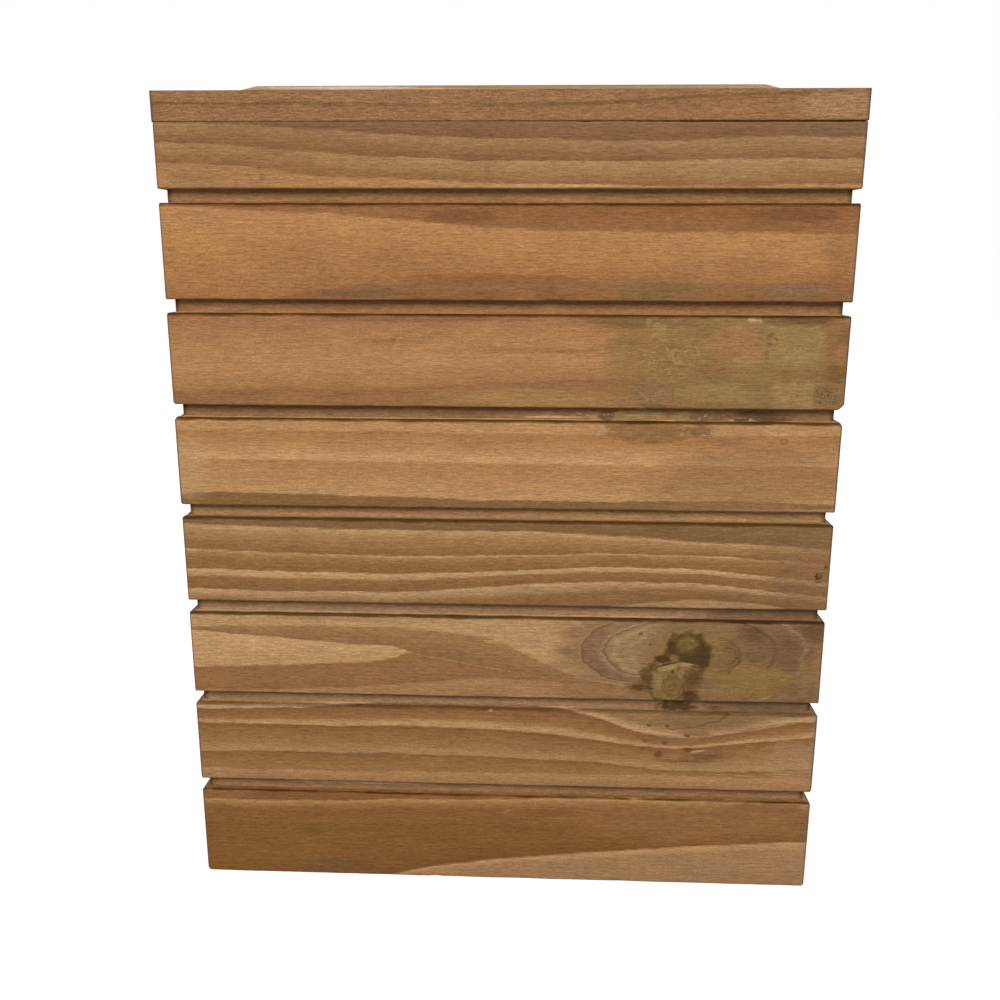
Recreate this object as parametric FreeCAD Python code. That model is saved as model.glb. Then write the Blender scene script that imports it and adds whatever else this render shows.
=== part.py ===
# Storage box of channelled tongue-and-groove boards, mitred at the corners, with a
# framed lid that has a raised panel and swings on two butt hinges at the back.
# Millimetres, +Z up, front towards -Y, ground at Z 0, origin under the middle of the whole.
import FreeCAD, Part
import math
import os

from FreeCAD import Vector

# Overall size of the box, over the board faces
WIDTH = 400.0
DEPTH = 320.0

# Wall boards
COURSES = 8
COURSE_PITCH = 62.3
BASE_FACE = 61.5
TOP_FACE = 35.8
BOARD_THICK = 18.0
CHANNEL_HEIGHT = 7.5
CHANNEL_DEPTH = 4.5
TONGUE_THICK = 6.0
TONGUE_LENGTH = 7.0
TONGUE_CLEARANCE = 0.25
ARRIS_RADIUS = 1.0
CORNER_EASE = 1.2
MITRE_GLUE_LINE = 0.05

# Battens inside: corner posts and floor bearers from one square stock
BATTEN = 28.0
POST_DROP = 9.0
BEARER_LIFT = 2.0

# Floor
FLOOR_BOARDS = 4
FLOOR_THICK = 12.0
FLOOR_GAP = 2.0
FLOOR_CLEARANCE = 0.5

# Lid
LID_SEAM = 0.4
LID_THICK = 16.7
RAIL_WIDTH = 26.5
RAIL_GROOVE_DEPTH = 8.0
RAIL_GROOVE_HEIGHT = 6.0
RAIL_EDGE_RADIUS = 0.8
TENON_SHOULDER = 9.0
TENON_CLEARANCE = 0.1
PANEL_RISE = 9.3
PANEL_BEVEL = 21.0
PANEL_BOARDS = 3
PANEL_GAP = 0.5
PANEL_EXPANSION = 1.0

# Butt hinges
HINGE_LENGTH = 50.0
HINGE_INSET = 75.0
LEAF_WIDTH = 15.0
LEAF_THICK = 1.4
LEAF_PLAY = 0.1
BARREL_RADIUS = 3.0
BARREL_OFFSET = 0.6
KNUCKLES = 3
KNUCKLE_GAP = 0.35
PIN_RADIUS = 1.5
PIN_CLEARANCE = 0.05
HINGE_SCREWS = 3
HINGE_SCREW_EDGE = 8.0

# Wood screws: shank and head radius, head height, and the wood left in front of the tip
BATTEN_SCREW = {"shank": 2.0, "head": 3.9, "cone": 3.0, "cover": 6.0}
FLOOR_SCREW = {"shank": 1.75, "head": 3.5, "cone": 2.7, "cover": 10.0}
HINGE_SCREW = {"shank": 1.3, "head": 2.5, "cone": 1.3, "cover": 4.7}
SCREW_TIP = 4.0
SCREW_SIDES = 8
SCREW_CLEARANCE = 0.1

# Heights and places that follow from the sizes above
COURSE_FACE = COURSE_PITCH - CHANNEL_HEIGHT
WALL_TOP = BASE_FACE + (COURSES - 2) * COURSE_PITCH + CHANNEL_HEIGHT + TOP_FACE
LID_BOTTOM = WALL_TOP + LID_SEAM
LID_TOP = LID_BOTTOM + LID_THICK
GROOVE_BOTTOM = LID_BOTTOM + (LID_THICK - RAIL_GROOVE_HEIGHT) / 2
GROOVE_TOP = GROOVE_BOTTOM + RAIL_GROOVE_HEIGHT
FLOOR_BOTTOM = BEARER_LIFT + BATTEN
FLOOR_TOP = FLOOR_BOTTOM + FLOOR_THICK
POST_TOP = WALL_TOP - POST_DROP
BOX_MIDDLE_Y = -(BARREL_OFFSET + 2 * BARREL_RADIUS) / 2
FRONT_Y = BOX_MIDDLE_Y - DEPTH / 2
BACK_Y = BOX_MIDDLE_Y + DEPTH / 2
INNER_X = WIDTH / 2 - BOARD_THICK
INNER_FRONT_Y = FRONT_Y + BOARD_THICK
INNER_BACK_Y = BACK_Y - BOARD_THICK
HINGE_Y = BACK_Y + BARREL_OFFSET + BARREL_RADIUS
HINGE_Z = WALL_TOP + LID_SEAM / 2
BATTEN_SCREW["length"] = BATTEN + BOARD_THICK - BATTEN_SCREW["cover"]
FLOOR_SCREW["length"] = FLOOR_THICK + BATTEN - FLOOR_SCREW["cover"]
HINGE_SCREW["length"] = LID_THICK - HINGE_SCREW["cover"]

X_AXIS = Vector(1, 0, 0)
Y_AXIS = Vector(0, 1, 0)
Z_AXIS = Vector(0, 0, 1)


def box(low, high):
    """Solid block between two opposite corners."""
    size = Vector(*high) - Vector(*low)
    return Part.makeBox(size.x, size.y, size.z, Vector(*low))


def rod(start, radius, length, along):
    """Round bar from a start point along a direction."""
    return Part.makeCylinder(radius, length, start, along)


def prism(corners, along):
    """Straight prism of a closed outline. Each corner is a point and its rounding radius."""
    edges = []
    starts = []
    ends = []
    for index, (point, radius) in enumerate(corners):
        before = corners[index - 1][0] - point
        after = corners[(index + 1) % len(corners)][0] - point
        before.normalize()
        after.normalize()
        half_angle = before.getAngle(after) / 2
        reach = radius / math.tan(half_angle)
        starts.append(point + before * reach)
        ends.append(point + after * reach)
        if radius > 0:
            bisector = before + after
            bisector.normalize()
            middle = point + bisector * (radius / math.sin(half_angle) - radius)
            edges.append(Part.Arc(starts[-1], middle, ends[-1]).toShape())
    for index, end in enumerate(ends):
        edges.append(Part.makeLine(end, starts[(index + 1) % len(starts)]))
    wire = Part.Wire(Part.__sortEdges__(edges))
    return Part.Face(wire).extrude(along)


def turned(profile):
    """Faceted turning about Z. Each point of the profile is a radius and a height."""
    turns = [2 * math.pi * side / SCREW_SIDES for side in range(SCREW_SIDES)]
    rings = [[Vector(radius * math.cos(turn), radius * math.sin(turn), height) for turn in turns]
             for radius, height in profile]
    outlines = [rings[0]]
    for upper, lower in zip(rings, rings[1:]):
        for side in range(SCREW_SIDES):
            outline = [upper[side - 1], lower[side - 1], upper[side]]
            if lower[side] != lower[side - 1]:
                outline.insert(2, lower[side])
            outlines.append(outline)
    faces = [Part.Face(Part.makePolygon(outline + outline[:1])) for outline in outlines]
    return Part.Solid(Part.Shell(faces))


def screw(kind, head_point, pointing, clearance=0.0):
    """Countersunk wood screw driven in a direction, its head flush at a point, or the hole for it."""
    shank = kind["shank"] + clearance
    length = kind["length"] + clearance
    shape = turned([
        (kind["head"] + clearance, 0),
        (shank, -kind["cone"]),
        (shank, SCREW_TIP - length),
        (0, -length),
    ])
    turn = FreeCAD.Rotation(Vector(0, 0, -1), pointing)
    shape.Placement = FreeCAD.Placement(head_point, turn)
    return shape


def course_bottom(course):
    """Height of the lower edge of a course's face, counted from 0 at the base."""
    if course == 0:
        return 0.0
    return BASE_FACE + CHANNEL_HEIGHT + (course - 1) * COURSE_PITCH


def course_face(course):
    """Visible face height of a course."""
    if course == 0:
        return BASE_FACE
    if course == COURSES - 1:
        return TOP_FACE
    return COURSE_FACE


def board_profile(course, outer_y):
    """Section of a wall board: depth inwards from the face, and height."""
    bottom = course_bottom(course)
    top = bottom + course_face(course)
    inner = BOARD_THICK
    tongue_back = CHANNEL_DEPTH + TONGUE_THICK
    points = [(0, bottom, ARRIS_RADIUS), (0, top, ARRIS_RADIUS)]
    if course == COURSES - 1:
        points += [(inner, top, 0)]
    else:
        seat = top + CHANNEL_HEIGHT
        points += [
            (CHANNEL_DEPTH, top, 0),
            (CHANNEL_DEPTH, seat + TONGUE_LENGTH, 0),
            (tongue_back, seat + TONGUE_LENGTH, 0),
            (tongue_back, seat, 0),
            (inner, seat, 0),
        ]
    points += [(inner, bottom, 0)]
    if course > 0:
        groove_top = bottom + TONGUE_LENGTH + TONGUE_CLEARANCE
        points += [
            (tongue_back + TONGUE_CLEARANCE, bottom, 0),
            (tongue_back + TONGUE_CLEARANCE, groove_top, 0),
            (CHANNEL_DEPTH - TONGUE_CLEARANCE, groove_top, 0),
            (CHANNEL_DEPTH - TONGUE_CLEARANCE, bottom, 0),
        ]
    return [(Vector(0, outer_y + depth, height), radius) for depth, height, radius in points]


def wall_board(course, length, outer_y):
    """One board of a wall that faces -Y, with both ends cut to the mitre and the corner eased."""
    start = Vector(-length / 2, 0, 0)
    corners = [(point + start, radius) for point, radius in board_profile(course, outer_y)]
    board = prism(corners, X_AXIS * length)
    half = length / 2 - MITRE_GLUE_LINE
    inner_y = outer_y + BOARD_THICK
    ease = CORNER_EASE
    plan = [
        (-half + ease, outer_y),
        (half - ease, outer_y),
        (half - ease / 2, outer_y + ease / 2),
        (half - BOARD_THICK, inner_y),
        (BOARD_THICK - half, inner_y),
        (ease / 2 - half, outer_y + ease / 2),
    ]
    mitre = prism([(Vector(x, y, 0), 0) for x, y in plan], Z_AXIS * WALL_TOP)
    return board.common(mitre)


def on_wall(shape, turn_degrees):
    """Shape made for a wall facing -Y, turned to its own side of the box."""
    shape = shape.copy()
    shape.rotate(Vector(0, 0, 0), Z_AXIS, turn_degrees)
    shape.translate(Vector(0, BOX_MIDDLE_Y, 0))
    return shape


def screw_heights(course):
    """Heights of the two fixings of a course in a post, clear of the floor and of the tongue."""
    low = max(course_bottom(course) + TONGUE_LENGTH, FLOOR_TOP)
    high = min(course_bottom(course) + course_face(course), POST_TOP)
    return low + (high - low) / 4, high - (high - low) / 4


def hinge_places():
    """Left and right hinge with its middle along the back."""
    return (("left", HINGE_INSET - WIDTH / 2), ("right", WIDTH / 2 - HINGE_INSET))


def leaf_screw_places(middle_x):
    """Screw places along a hinge leaf, halfway across it."""
    span = HINGE_LENGTH - 2 * HINGE_SCREW_EDGE
    step = span / (HINGE_SCREWS - 1)
    first = middle_x - span / 2
    return [Vector(first + index * step, BACK_Y - LEAF_WIDTH / 2, 0) for index in range(HINGE_SCREWS)]


def leaf_mortise(middle_x, low_z, high_z):
    """Recess that lets a hinge leaf in flush."""
    half = HINGE_LENGTH / 2 + LEAF_PLAY
    return box((middle_x - half, BACK_Y - LEAF_WIDTH - LEAF_PLAY, low_z),
               (middle_x + half, BACK_Y + LEAF_WIDTH, high_z))


def hinge_leaf(middle_x, low_z, own_knuckles, screw_z, screw_pointing):
    """Flat leaf with its share of the rolled knuckles, bored for the pin."""
    half = HINGE_LENGTH / 2
    high_z = low_z + LEAF_THICK
    plate_end = HINGE_Y - BARREL_RADIUS - BARREL_OFFSET / 2
    leaf = box((middle_x - half, BACK_Y - LEAF_WIDTH, low_z), (middle_x + half, plate_end, high_z))
    pitch = HINGE_LENGTH / KNUCKLES
    for knuckle in own_knuckles:
        start = middle_x - half + knuckle * pitch + KNUCKLE_GAP / 2
        length = pitch - KNUCKLE_GAP
        barrel = rod(Vector(start, HINGE_Y, HINGE_Z), BARREL_RADIUS, length, X_AXIS)
        web = box((start, plate_end, low_z), (start + length, HINGE_Y, high_z))
        leaf = leaf.fuse([barrel, web])
    bore = rod(Vector(middle_x - half, HINGE_Y, HINGE_Z), PIN_RADIUS + PIN_CLEARANCE, HINGE_LENGTH, X_AXIS)
    holes = [screw(HINGE_SCREW, place + Z_AXIS * screw_z, screw_pointing, SCREW_CLEARANCE)
             for place in leaf_screw_places(middle_x)]
    return leaf.cut([bore] + holes).removeSplitter()


def hinge_pin(middle_x):
    """Plain hinge pin, as long as the barrel."""
    return rod(Vector(middle_x - HINGE_LENGTH / 2, HINGE_Y, HINGE_Z), PIN_RADIUS, HINGE_LENGTH, X_AXIS)


def long_rail(outer_y, inward):
    """Front or back rail of the lid frame: full width, grooved along its inner edge."""
    inner_y = outer_y + inward * RAIL_WIDTH
    start = Vector(-WIDTH / 2, 0, 0)
    section = [
        (Vector(0, outer_y, LID_BOTTOM), RAIL_EDGE_RADIUS),
        (Vector(0, outer_y, LID_TOP), RAIL_EDGE_RADIUS),
        (Vector(0, inner_y, LID_TOP), 0),
        (Vector(0, inner_y, LID_BOTTOM), 0),
    ]
    rail = prism([(point + start, radius) for point, radius in section], X_AXIS * WIDTH)
    half = WIDTH / 2 - TENON_SHOULDER
    groove_y = inner_y - inward * RAIL_GROOVE_DEPTH
    low_y, high_y = sorted((inner_y, groove_y))
    return rail.cut(box((-half, low_y, GROOVE_BOTTOM), (half, high_y, GROOVE_TOP)))


def short_rail(side):
    """Side rail of the lid frame: stub tenons at both ends, grooved for the panel."""
    outer_x = side * WIDTH / 2
    inner_x = side * (WIDTH / 2 - RAIL_WIDTH)
    section = [
        (Vector(outer_x, 0, LID_BOTTOM), RAIL_EDGE_RADIUS),
        (Vector(outer_x, 0, LID_TOP), RAIL_EDGE_RADIUS),
        (Vector(inner_x, 0, LID_TOP), 0),
        (Vector(inner_x, 0, LID_BOTTOM), 0),
    ]
    start = Vector(0, FRONT_Y + RAIL_WIDTH, 0)
    length = DEPTH - 2 * RAIL_WIDTH
    rail = prism([(point + start, radius) for point, radius in section], Y_AXIS * length)
    reach = RAIL_GROOVE_DEPTH - TENON_CLEARANCE
    low_x, high_x = sorted((side * (WIDTH / 2 - TENON_SHOULDER - TENON_CLEARANCE), inner_x))
    tenon = box((low_x, start.y - reach, GROOVE_BOTTOM + TENON_CLEARANCE),
                (high_x, start.y + length + reach, GROOVE_TOP - TENON_CLEARANCE))
    groove_x = inner_x + side * RAIL_GROOVE_DEPTH
    low_x, high_x = sorted((inner_x, groove_x))
    groove = box((low_x, FRONT_Y, GROOVE_BOTTOM), (high_x, BACK_Y, GROOVE_TOP))
    return rail.fuse(tenon).cut(groove)


def bevelled_outline(half_foot, across):
    """Section of the raised panel over one direction: upright edge, bevel, flat field."""
    half_field = half_foot - PANEL_BEVEL
    field_z = LID_TOP + PANEL_RISE
    outline = [
        (-half_foot, GROOVE_BOTTOM),
        (half_foot, GROOVE_BOTTOM),
        (half_foot, LID_TOP),
        (half_field, field_z),
        (-half_field, field_z),
        (-half_foot, LID_TOP),
    ]
    return [(across * offset + Z_AXIS * height, 0) for offset, height in outline]


def raised_panel():
    """Panel with a tongue round its edge for the frame's groove and a bevelled raised field."""
    half_x = WIDTH / 2 - RAIL_WIDTH
    half_y = DEPTH / 2 - RAIL_WIDTH
    reach = RAIL_GROOVE_DEPTH - PANEL_EXPANSION
    tongue_top = GROOVE_TOP - TENON_CLEARANCE
    tongue = box((-half_x - reach, -half_y - reach, GROOVE_BOTTOM),
                 (half_x + reach, half_y + reach, tongue_top))
    run_x = prism(bevelled_outline(half_y - PANEL_GAP, Y_AXIS), X_AXIS * WIDTH)
    run_y = prism(bevelled_outline(half_x - PANEL_GAP, X_AXIS), Y_AXIS * DEPTH)
    run_x.translate(-X_AXIS * (WIDTH / 2))
    run_y.translate(-Y_AXIS * (DEPTH / 2))
    panel = tongue.fuse(run_x.common(run_y)).removeSplitter()
    panel.translate(Y_AXIS * BOX_MIDDLE_Y)
    return panel


os.makedirs("parts", exist_ok=True)
nodes = {}
batten_screw_seats = []

# Walls: the same courses on all four sides
WALLS = {
    "front": (WIDTH, DEPTH, 0),
    "right": (DEPTH, WIDTH, 90),
    "back": (WIDTH, DEPTH, 180),
    "left": (DEPTH, WIDTH, 270),
}
for wall, (length, across, turn) in WALLS.items():
    for course in range(COURSES):
        board = wall_board(course, length, -across / 2)
        nodes[f"{wall}_board_{course + 1}"] = on_wall(board, turn)

# Corner posts, each screwed from inside into both walls, one row of screws above the other
for y_name, post_y, into_y in (("front", INNER_FRONT_Y, -1), ("back", INNER_BACK_Y - BATTEN, 1)):
    for x_name, post_x, into_x in (("left", -INNER_X, -1), ("right", INNER_X - BATTEN, 1)):
        post = box((post_x, post_y, FLOOR_TOP), (post_x + BATTEN, post_y + BATTEN, POST_TOP))
        middle_x = post_x + BATTEN / 2
        middle_y = post_y + BATTEN / 2
        seats = []
        for course in range(COURSES):
            low, high = screw_heights(course)
            seats.append((Vector(middle_x, middle_y - into_y * BATTEN / 2, high), Y_AXIS * into_y))
            seats.append((Vector(middle_x - into_x * BATTEN / 2, middle_y, low), X_AXIS * into_x))
        nodes[f"{y_name}_{x_name}_post"] = post
        batten_screw_seats += seats

# Floor boards run from front to back, with a gap between each two
floor_room = 2 * (INNER_X - FLOOR_CLEARANCE) - (FLOOR_BOARDS - 1) * FLOOR_GAP
floor_board_width = floor_room / FLOOR_BOARDS
floor_lefts = [FLOOR_CLEARANCE - INNER_X + index * (floor_board_width + FLOOR_GAP)
               for index in range(FLOOR_BOARDS)]

# Floor bearers along the front and back walls, screwed to them under the gaps of the floor
bearer_middle_z = BEARER_LIFT + BATTEN / 2
for name, bearer_y, into_y in (("front", INNER_FRONT_Y, -1), ("back", INNER_BACK_Y - BATTEN, 1)):
    bearer = box((-INNER_X, bearer_y, BEARER_LIFT), (INNER_X, bearer_y + BATTEN, FLOOR_BOTTOM))
    head_y = bearer_y + BATTEN / 2 - into_y * BATTEN / 2
    seats = [(Vector(left - FLOOR_GAP / 2, head_y, bearer_middle_z), Y_AXIS * into_y)
             for left in floor_lefts[1:]]
    nodes[f"{name}_floor_bearer"] = bearer
    batten_screw_seats += seats

# Floor boards, one screw down into each bearer
floor_screw_seats = []
for index, left in enumerate(floor_lefts):
    board = box((left, INNER_FRONT_Y + FLOOR_CLEARANCE, FLOOR_BOTTOM),
                (left + floor_board_width, INNER_BACK_Y - FLOOR_CLEARANCE, FLOOR_TOP))
    seats = [(Vector(left + floor_board_width / 2, y, FLOOR_TOP), -Z_AXIS)
             for y in (INNER_FRONT_Y + BATTEN / 2, INNER_BACK_Y - BATTEN / 2)]
    nodes[f"floor_board_{index + 1}"] = board
    floor_screw_seats += seats

# Lid frame and raised panel
nodes["lid_front_rail"] = long_rail(FRONT_Y, 1)
nodes["lid_back_rail"] = long_rail(BACK_Y, -1)
nodes["lid_left_rail"] = short_rail(-1)
nodes["lid_right_rail"] = short_rail(1)
panel = raised_panel()
panel_bounds = panel.BoundBox
panel_step = (DEPTH - 2 * RAIL_WIDTH) / PANEL_BOARDS
for index in range(PANEL_BOARDS):
    low_y = FRONT_Y + RAIL_WIDTH + index * panel_step
    high_y = low_y + panel_step
    if index == 0:
        low_y = panel_bounds.YMin
    if index == PANEL_BOARDS - 1:
        high_y = panel_bounds.YMax
    strip = box((panel_bounds.XMin, low_y, panel_bounds.ZMin),
                (panel_bounds.XMax, high_y, panel_bounds.ZMax))
    nodes[f"lid_panel_board_{index + 1}"] = panel.common(strip)

# Hinges, let into the top edge of the back wall and the underside of the lid
box_screw_seats = []
lid_screw_seats = []
back_top_board = f"back_board_{COURSES}"
box_leaf_low = WALL_TOP - LEAF_THICK
lid_leaf_high = LID_BOTTOM + LEAF_THICK
for side, middle_x in hinge_places():
    box_mortise = leaf_mortise(middle_x, box_leaf_low, LID_BOTTOM)
    lid_mortise = leaf_mortise(middle_x, WALL_TOP, lid_leaf_high)
    nodes[back_top_board] = nodes[back_top_board].cut(box_mortise)
    nodes["lid_back_rail"] = nodes["lid_back_rail"].cut(lid_mortise)
    odd_knuckles = range(0, KNUCKLES, 2)
    even_knuckles = range(1, KNUCKLES, 2)
    box_leaf = hinge_leaf(middle_x, box_leaf_low, odd_knuckles, WALL_TOP, -Z_AXIS)
    lid_leaf = hinge_leaf(middle_x, LID_BOTTOM, even_knuckles, LID_BOTTOM, Z_AXIS)
    nodes[f"hinge_{side}_box_leaf"] = box_leaf
    nodes[f"hinge_{side}_lid_leaf"] = lid_leaf
    nodes[f"hinge_{side}_pin"] = hinge_pin(middle_x)
    for place in leaf_screw_places(middle_x):
        box_screw_seats.append((place + Z_AXIS * WALL_TOP, -Z_AXIS))
        lid_screw_seats.append((place + Z_AXIS * LID_BOTTOM, Z_AXIS))

# Screws, one node for each use
SCREW_NODES = {
    "batten_screws": (BATTEN_SCREW, batten_screw_seats),
    "floor_screws": (FLOOR_SCREW, floor_screw_seats),
    "hinge_box_screws": (HINGE_SCREW, box_screw_seats),
    "hinge_lid_screws": (HINGE_SCREW, lid_screw_seats),
}
for name, (kind, seats) in SCREW_NODES.items():
    nodes[name] = Part.makeCompound([screw(kind, point, pointing) for point, pointing in seats])

for name, shape in nodes.items():
    shape.exportStep(f"parts/{name}.step")
print(len(nodes), "nodes, overall height", round(LID_TOP + PANEL_RISE, 2))
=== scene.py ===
import math
import random

import bmesh
import bpy
from mathutils import Euler, Matrix, Vector, noise


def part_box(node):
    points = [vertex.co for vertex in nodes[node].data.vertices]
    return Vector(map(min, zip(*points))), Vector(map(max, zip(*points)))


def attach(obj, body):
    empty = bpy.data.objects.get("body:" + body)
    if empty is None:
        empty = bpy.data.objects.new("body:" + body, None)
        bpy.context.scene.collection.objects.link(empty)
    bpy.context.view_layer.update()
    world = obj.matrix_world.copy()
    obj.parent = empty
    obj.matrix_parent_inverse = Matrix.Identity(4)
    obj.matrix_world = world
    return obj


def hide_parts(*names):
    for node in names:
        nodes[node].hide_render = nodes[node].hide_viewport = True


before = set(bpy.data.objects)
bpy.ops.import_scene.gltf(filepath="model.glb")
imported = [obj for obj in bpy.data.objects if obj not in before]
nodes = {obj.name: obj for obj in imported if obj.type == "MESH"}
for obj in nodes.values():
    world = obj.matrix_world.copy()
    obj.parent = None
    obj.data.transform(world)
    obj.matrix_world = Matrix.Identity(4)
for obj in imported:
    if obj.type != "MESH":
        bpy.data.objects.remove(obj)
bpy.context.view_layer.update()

# The frame is in metres. Grain, marks and textures below are written in millimetres.
MM = 1000.0

# The box as it was built, for placing grain on its faces
MIDDLE_Y = -3.3
HALF_WIDTH = 200.0
HALF_DEPTH = 160.0
LID_TOP = 505.0
RAIL_TOP = 495.7
RAIL_FOOT = 479.0
FLOOR_TOP = 42.0
POST_HALF_WIDTH = 14.0
POST_HALF_LENGTH = 214.0
FRONT_FACE = MIDDLE_Y - HALF_DEPTH
# Bottom and top of the face of each course, from the base up
FACES = {
    1: (0.0, 61.5),
    2: (69.0, 123.8),
    3: (131.3, 186.1),
    4: (193.6, 248.4),
    5: (255.9, 310.7),
    6: (318.2, 373.0),
    7: (380.5, 435.3),
    8: (442.8, 478.6),
}
# Each wall: the way its grain runs, the way into the box, the middle of its foot and half its length
WALLS = {
    "front": ((1, 0, 0), (0, 1, 0), (0, FRONT_FACE, 0), HALF_WIDTH),
    "right": ((0, 1, 0), (-1, 0, 0), (HALF_WIDTH, MIDDLE_Y, 0), HALF_DEPTH),
    "back": ((-1, 0, 0), (0, -1, 0), (0, MIDDLE_Y + HALF_DEPTH, 0), HALF_WIDTH),
    "left": ((0, -1, 0), (1, 0, 0), (-HALF_WIDTH, MIDDLE_Y, 0), HALF_DEPTH),
}


def linear(hex_colour, alpha=1.0):
    """Colour written as sRGB hex, turned to the linear values that nodes take."""
    channels = [int(hex_colour[start:start + 2], 16) / 255 for start in (0, 2, 4)]
    bright = [c / 12.92 if c <= 0.04045 else ((c + 0.055) / 1.055) ** 2.4 for c in channels]
    return (*bright, alpha)


def add(tree, kind, feeds=(), stops=None, bends=None, **settings):
    """One node: its settings, what feeds it, and the stops of a ramp or the bends of a curve.

    Feeds go to the sockets in use, by name or in their order. A node that feeds another gives it
    the first of its outputs in use.
    """
    node = tree.nodes.new("ShaderNode" + kind)
    for name, value in settings.items():
        setattr(node, name, value)
    in_use = [socket for socket in node.inputs if socket.enabled]
    named = {socket.name: socket for socket in reversed(in_use)}
    for key, value in feeds.items() if isinstance(feeds, dict) else enumerate(feeds):
        socket = named[key] if key in named else in_use[key]
        if isinstance(value, bpy.types.Node):
            value = next(output for output in value.outputs if output.enabled)
        if isinstance(value, bpy.types.NodeSocket):
            tree.links.new(value, socket)
        else:
            socket.default_value = value
    if stops:
        elements = node.color_ramp.elements
        elements.remove(elements[1])
        elements[0].position, elements[0].color = stops[0]
        for position, colour in stops[1:]:
            elements.new(position).color = colour
    if bends:
        points = node.mapping.curves[0].points
        points[0].location = bends[0]
        points[1].location = bends[-1]
        for place, height in bends[1:-1]:
            points.new(place, height)
        for point in points:
            point.handle_type = "AUTO_CLAMPED"
        node.mapping.update()
    return node


def new_finish(name):
    """Empty material with a node tree."""
    finish = bpy.data.materials.new(name)
    finish.use_nodes = True
    finish.node_tree.nodes.clear()
    return finish, finish.node_tree


def grain_place(tree, along, inward, origin):
    """Millimetres along the grain, inwards from the face and across the grain, from a point of the face."""
    along, inward = Vector(along), Vector(inward)
    turn = Matrix((along, inward, along.cross(inward)))
    coordinates = add(tree, "TexCoord")
    return add(tree, "Mapping", {
        "Vector": coordinates.outputs["Object"],
        "Location": -(turn @ Vector(origin)),
        "Rotation": turn.to_euler(),
        "Scale": (MM, MM, MM),
    })


def fibre_noise(tree, place, size, seed, detail=2.0, roughness=0.5):
    """Noise whose grain has a size in millimetres: along the board, inwards and across."""
    stretched = add(tree, "Mapping", {"Vector": place, "Scale": size}, vector_type="TEXTURE")
    return add(tree, "TexNoise", {
        "Vector": stretched,
        "W": seed,
        "Scale": 1.0,
        "Detail": detail,
        "Roughness": roughness,
    }, noise_dimensions="4D")


def growth_rings(tree, along, height, low, high, half_length, lines, tones):
    """Colour of the growth rings between the given lines.

    A line is where one year's wood stops and the next begins, from the left end to the right end.
    The year above the first line and the one below the last run on past the board's edges.
    """
    margin = 16.0
    floor, reach = low - margin, high - low + 2 * margin
    position = add(tree, "MapRange", (along, -half_length, half_length, 0.0, 1.0))
    level = add(tree, "MapRange", (height, floor, floor + reach, 0.0, 1.0))
    ends = (-half_length, half_length)
    drawn = [[(end, high + margin) for end in ends], *lines, [(end, floor) for end in ends]]
    curves = [
        add(tree, "FloatCurve", {"Value": position}, bends=[
            ((x + half_length) / (2 * half_length), (z - floor) / reach) for x, z in line
        ])
        for line in drawn
    ]
    # Where two lines meet, the lower one keeps a hair below the upper one
    hair = 0.02 / reach
    upper, passed = curves[0], None
    for curve in curves[1:]:
        below = add(tree, "Math", (upper, hair), operation="SUBTRACT")
        lower = add(tree, "Math", (curve, below), operation="MINIMUM")
        year = add(tree, "MapRange", (level, upper, lower, 0.0, 1.0))
        if passed:
            year = add(tree, "Math", (passed, year), operation="ADD")
        upper, passed = lower, year
    years = len(curves) - 1
    share = add(tree, "Math", (passed, float(years)), operation="DIVIDE")
    edge = 0.03
    stops = []
    for index, year_tones in enumerate(tones):
        spread = [tone if isinstance(tone, tuple) else (tone, order / (len(year_tones) - 1))
                  for order, tone in enumerate(year_tones)]
        for tone, part in spread:
            inside = edge + part * (1 - 2 * edge)
            stops.append(((index + inside) / years, linear(tone)))
    return add(tree, "ValToRGB", (share,), stops=stops)


def marked(tree, colour, place, along, height, mark, seed):
    """Colour with a knot, the rings round a knot, or a stain laid over it."""
    x, z = mark["at"]
    wide, high = mark["half"]
    if mark.get("square"):
        beside = add(tree, "MapRange", (along, x, x + wide, 0.0, 1.0), clamp=False)
        above = add(tree, "MapRange", (height, z, z + high, 0.0, 1.0), clamp=False)
        sides = [add(tree, "Math", (way,), operation="ABSOLUTE") for way in (beside, above)]
        distance = add(tree, "Math", sides, operation="MAXIMUM")
    else:
        # The gradient falls from one to nought over twice the mark's half size
        spot = add(tree, "Mapping", {
            "Vector": place,
            "Location": (x, mark.get("depth", 0.0), z),
            "Rotation": (0.0, math.radians(mark.get("tilt", 0.0)), 0.0),
            "Scale": (2 * wide, 2 * mark.get("thick", 4.0), 2 * high),
        }, vector_type="TEXTURE")
        ball = add(tree, "TexGradient", (spot,), gradient_type="SPHERICAL")
        distance = add(tree, "Math", (ball.outputs["Fac"], -2.0, 2.0), operation="MULTIPLY_ADD")
    ragged = mark.get("ragged", 0.3)
    grain = fibre_noise(tree, place, mark.get("size", (9.0, 4.0, 2.0)), seed, detail=3.0)
    waver = add(tree, "MapRange", (grain, 0.25, 0.75, -ragged, ragged))
    reach = add(tree, "Math", (distance, waver), operation="ADD")
    laid = add(tree, "ValToRGB", (reach,), stops=[
        (part, linear(tone, strength)) for part, tone, strength in mark["stops"]
    ])
    strength = laid.outputs["Alpha"]
    if "crumbs" in mark:
        # Laid on only where a noise of the crumbs' size passes the threshold
        size, threshold = mark["crumbs"]
        lumps = fibre_noise(tree, place, size, seed + 0.5)
        crumbs = add(tree, "MapRange", (lumps, threshold, threshold + 0.06))
        strength = add(tree, "Math", (strength, crumbs), operation="MULTIPLY")
    if "fade" in mark:
        shown = add(tree, "MapRange", (along, *mark["fade"]))
        strength = add(tree, "Math", (strength, shown), operation="MULTIPLY")
    return add(tree, "Mix", (strength, colour, laid), data_type="RGBA")


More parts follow.
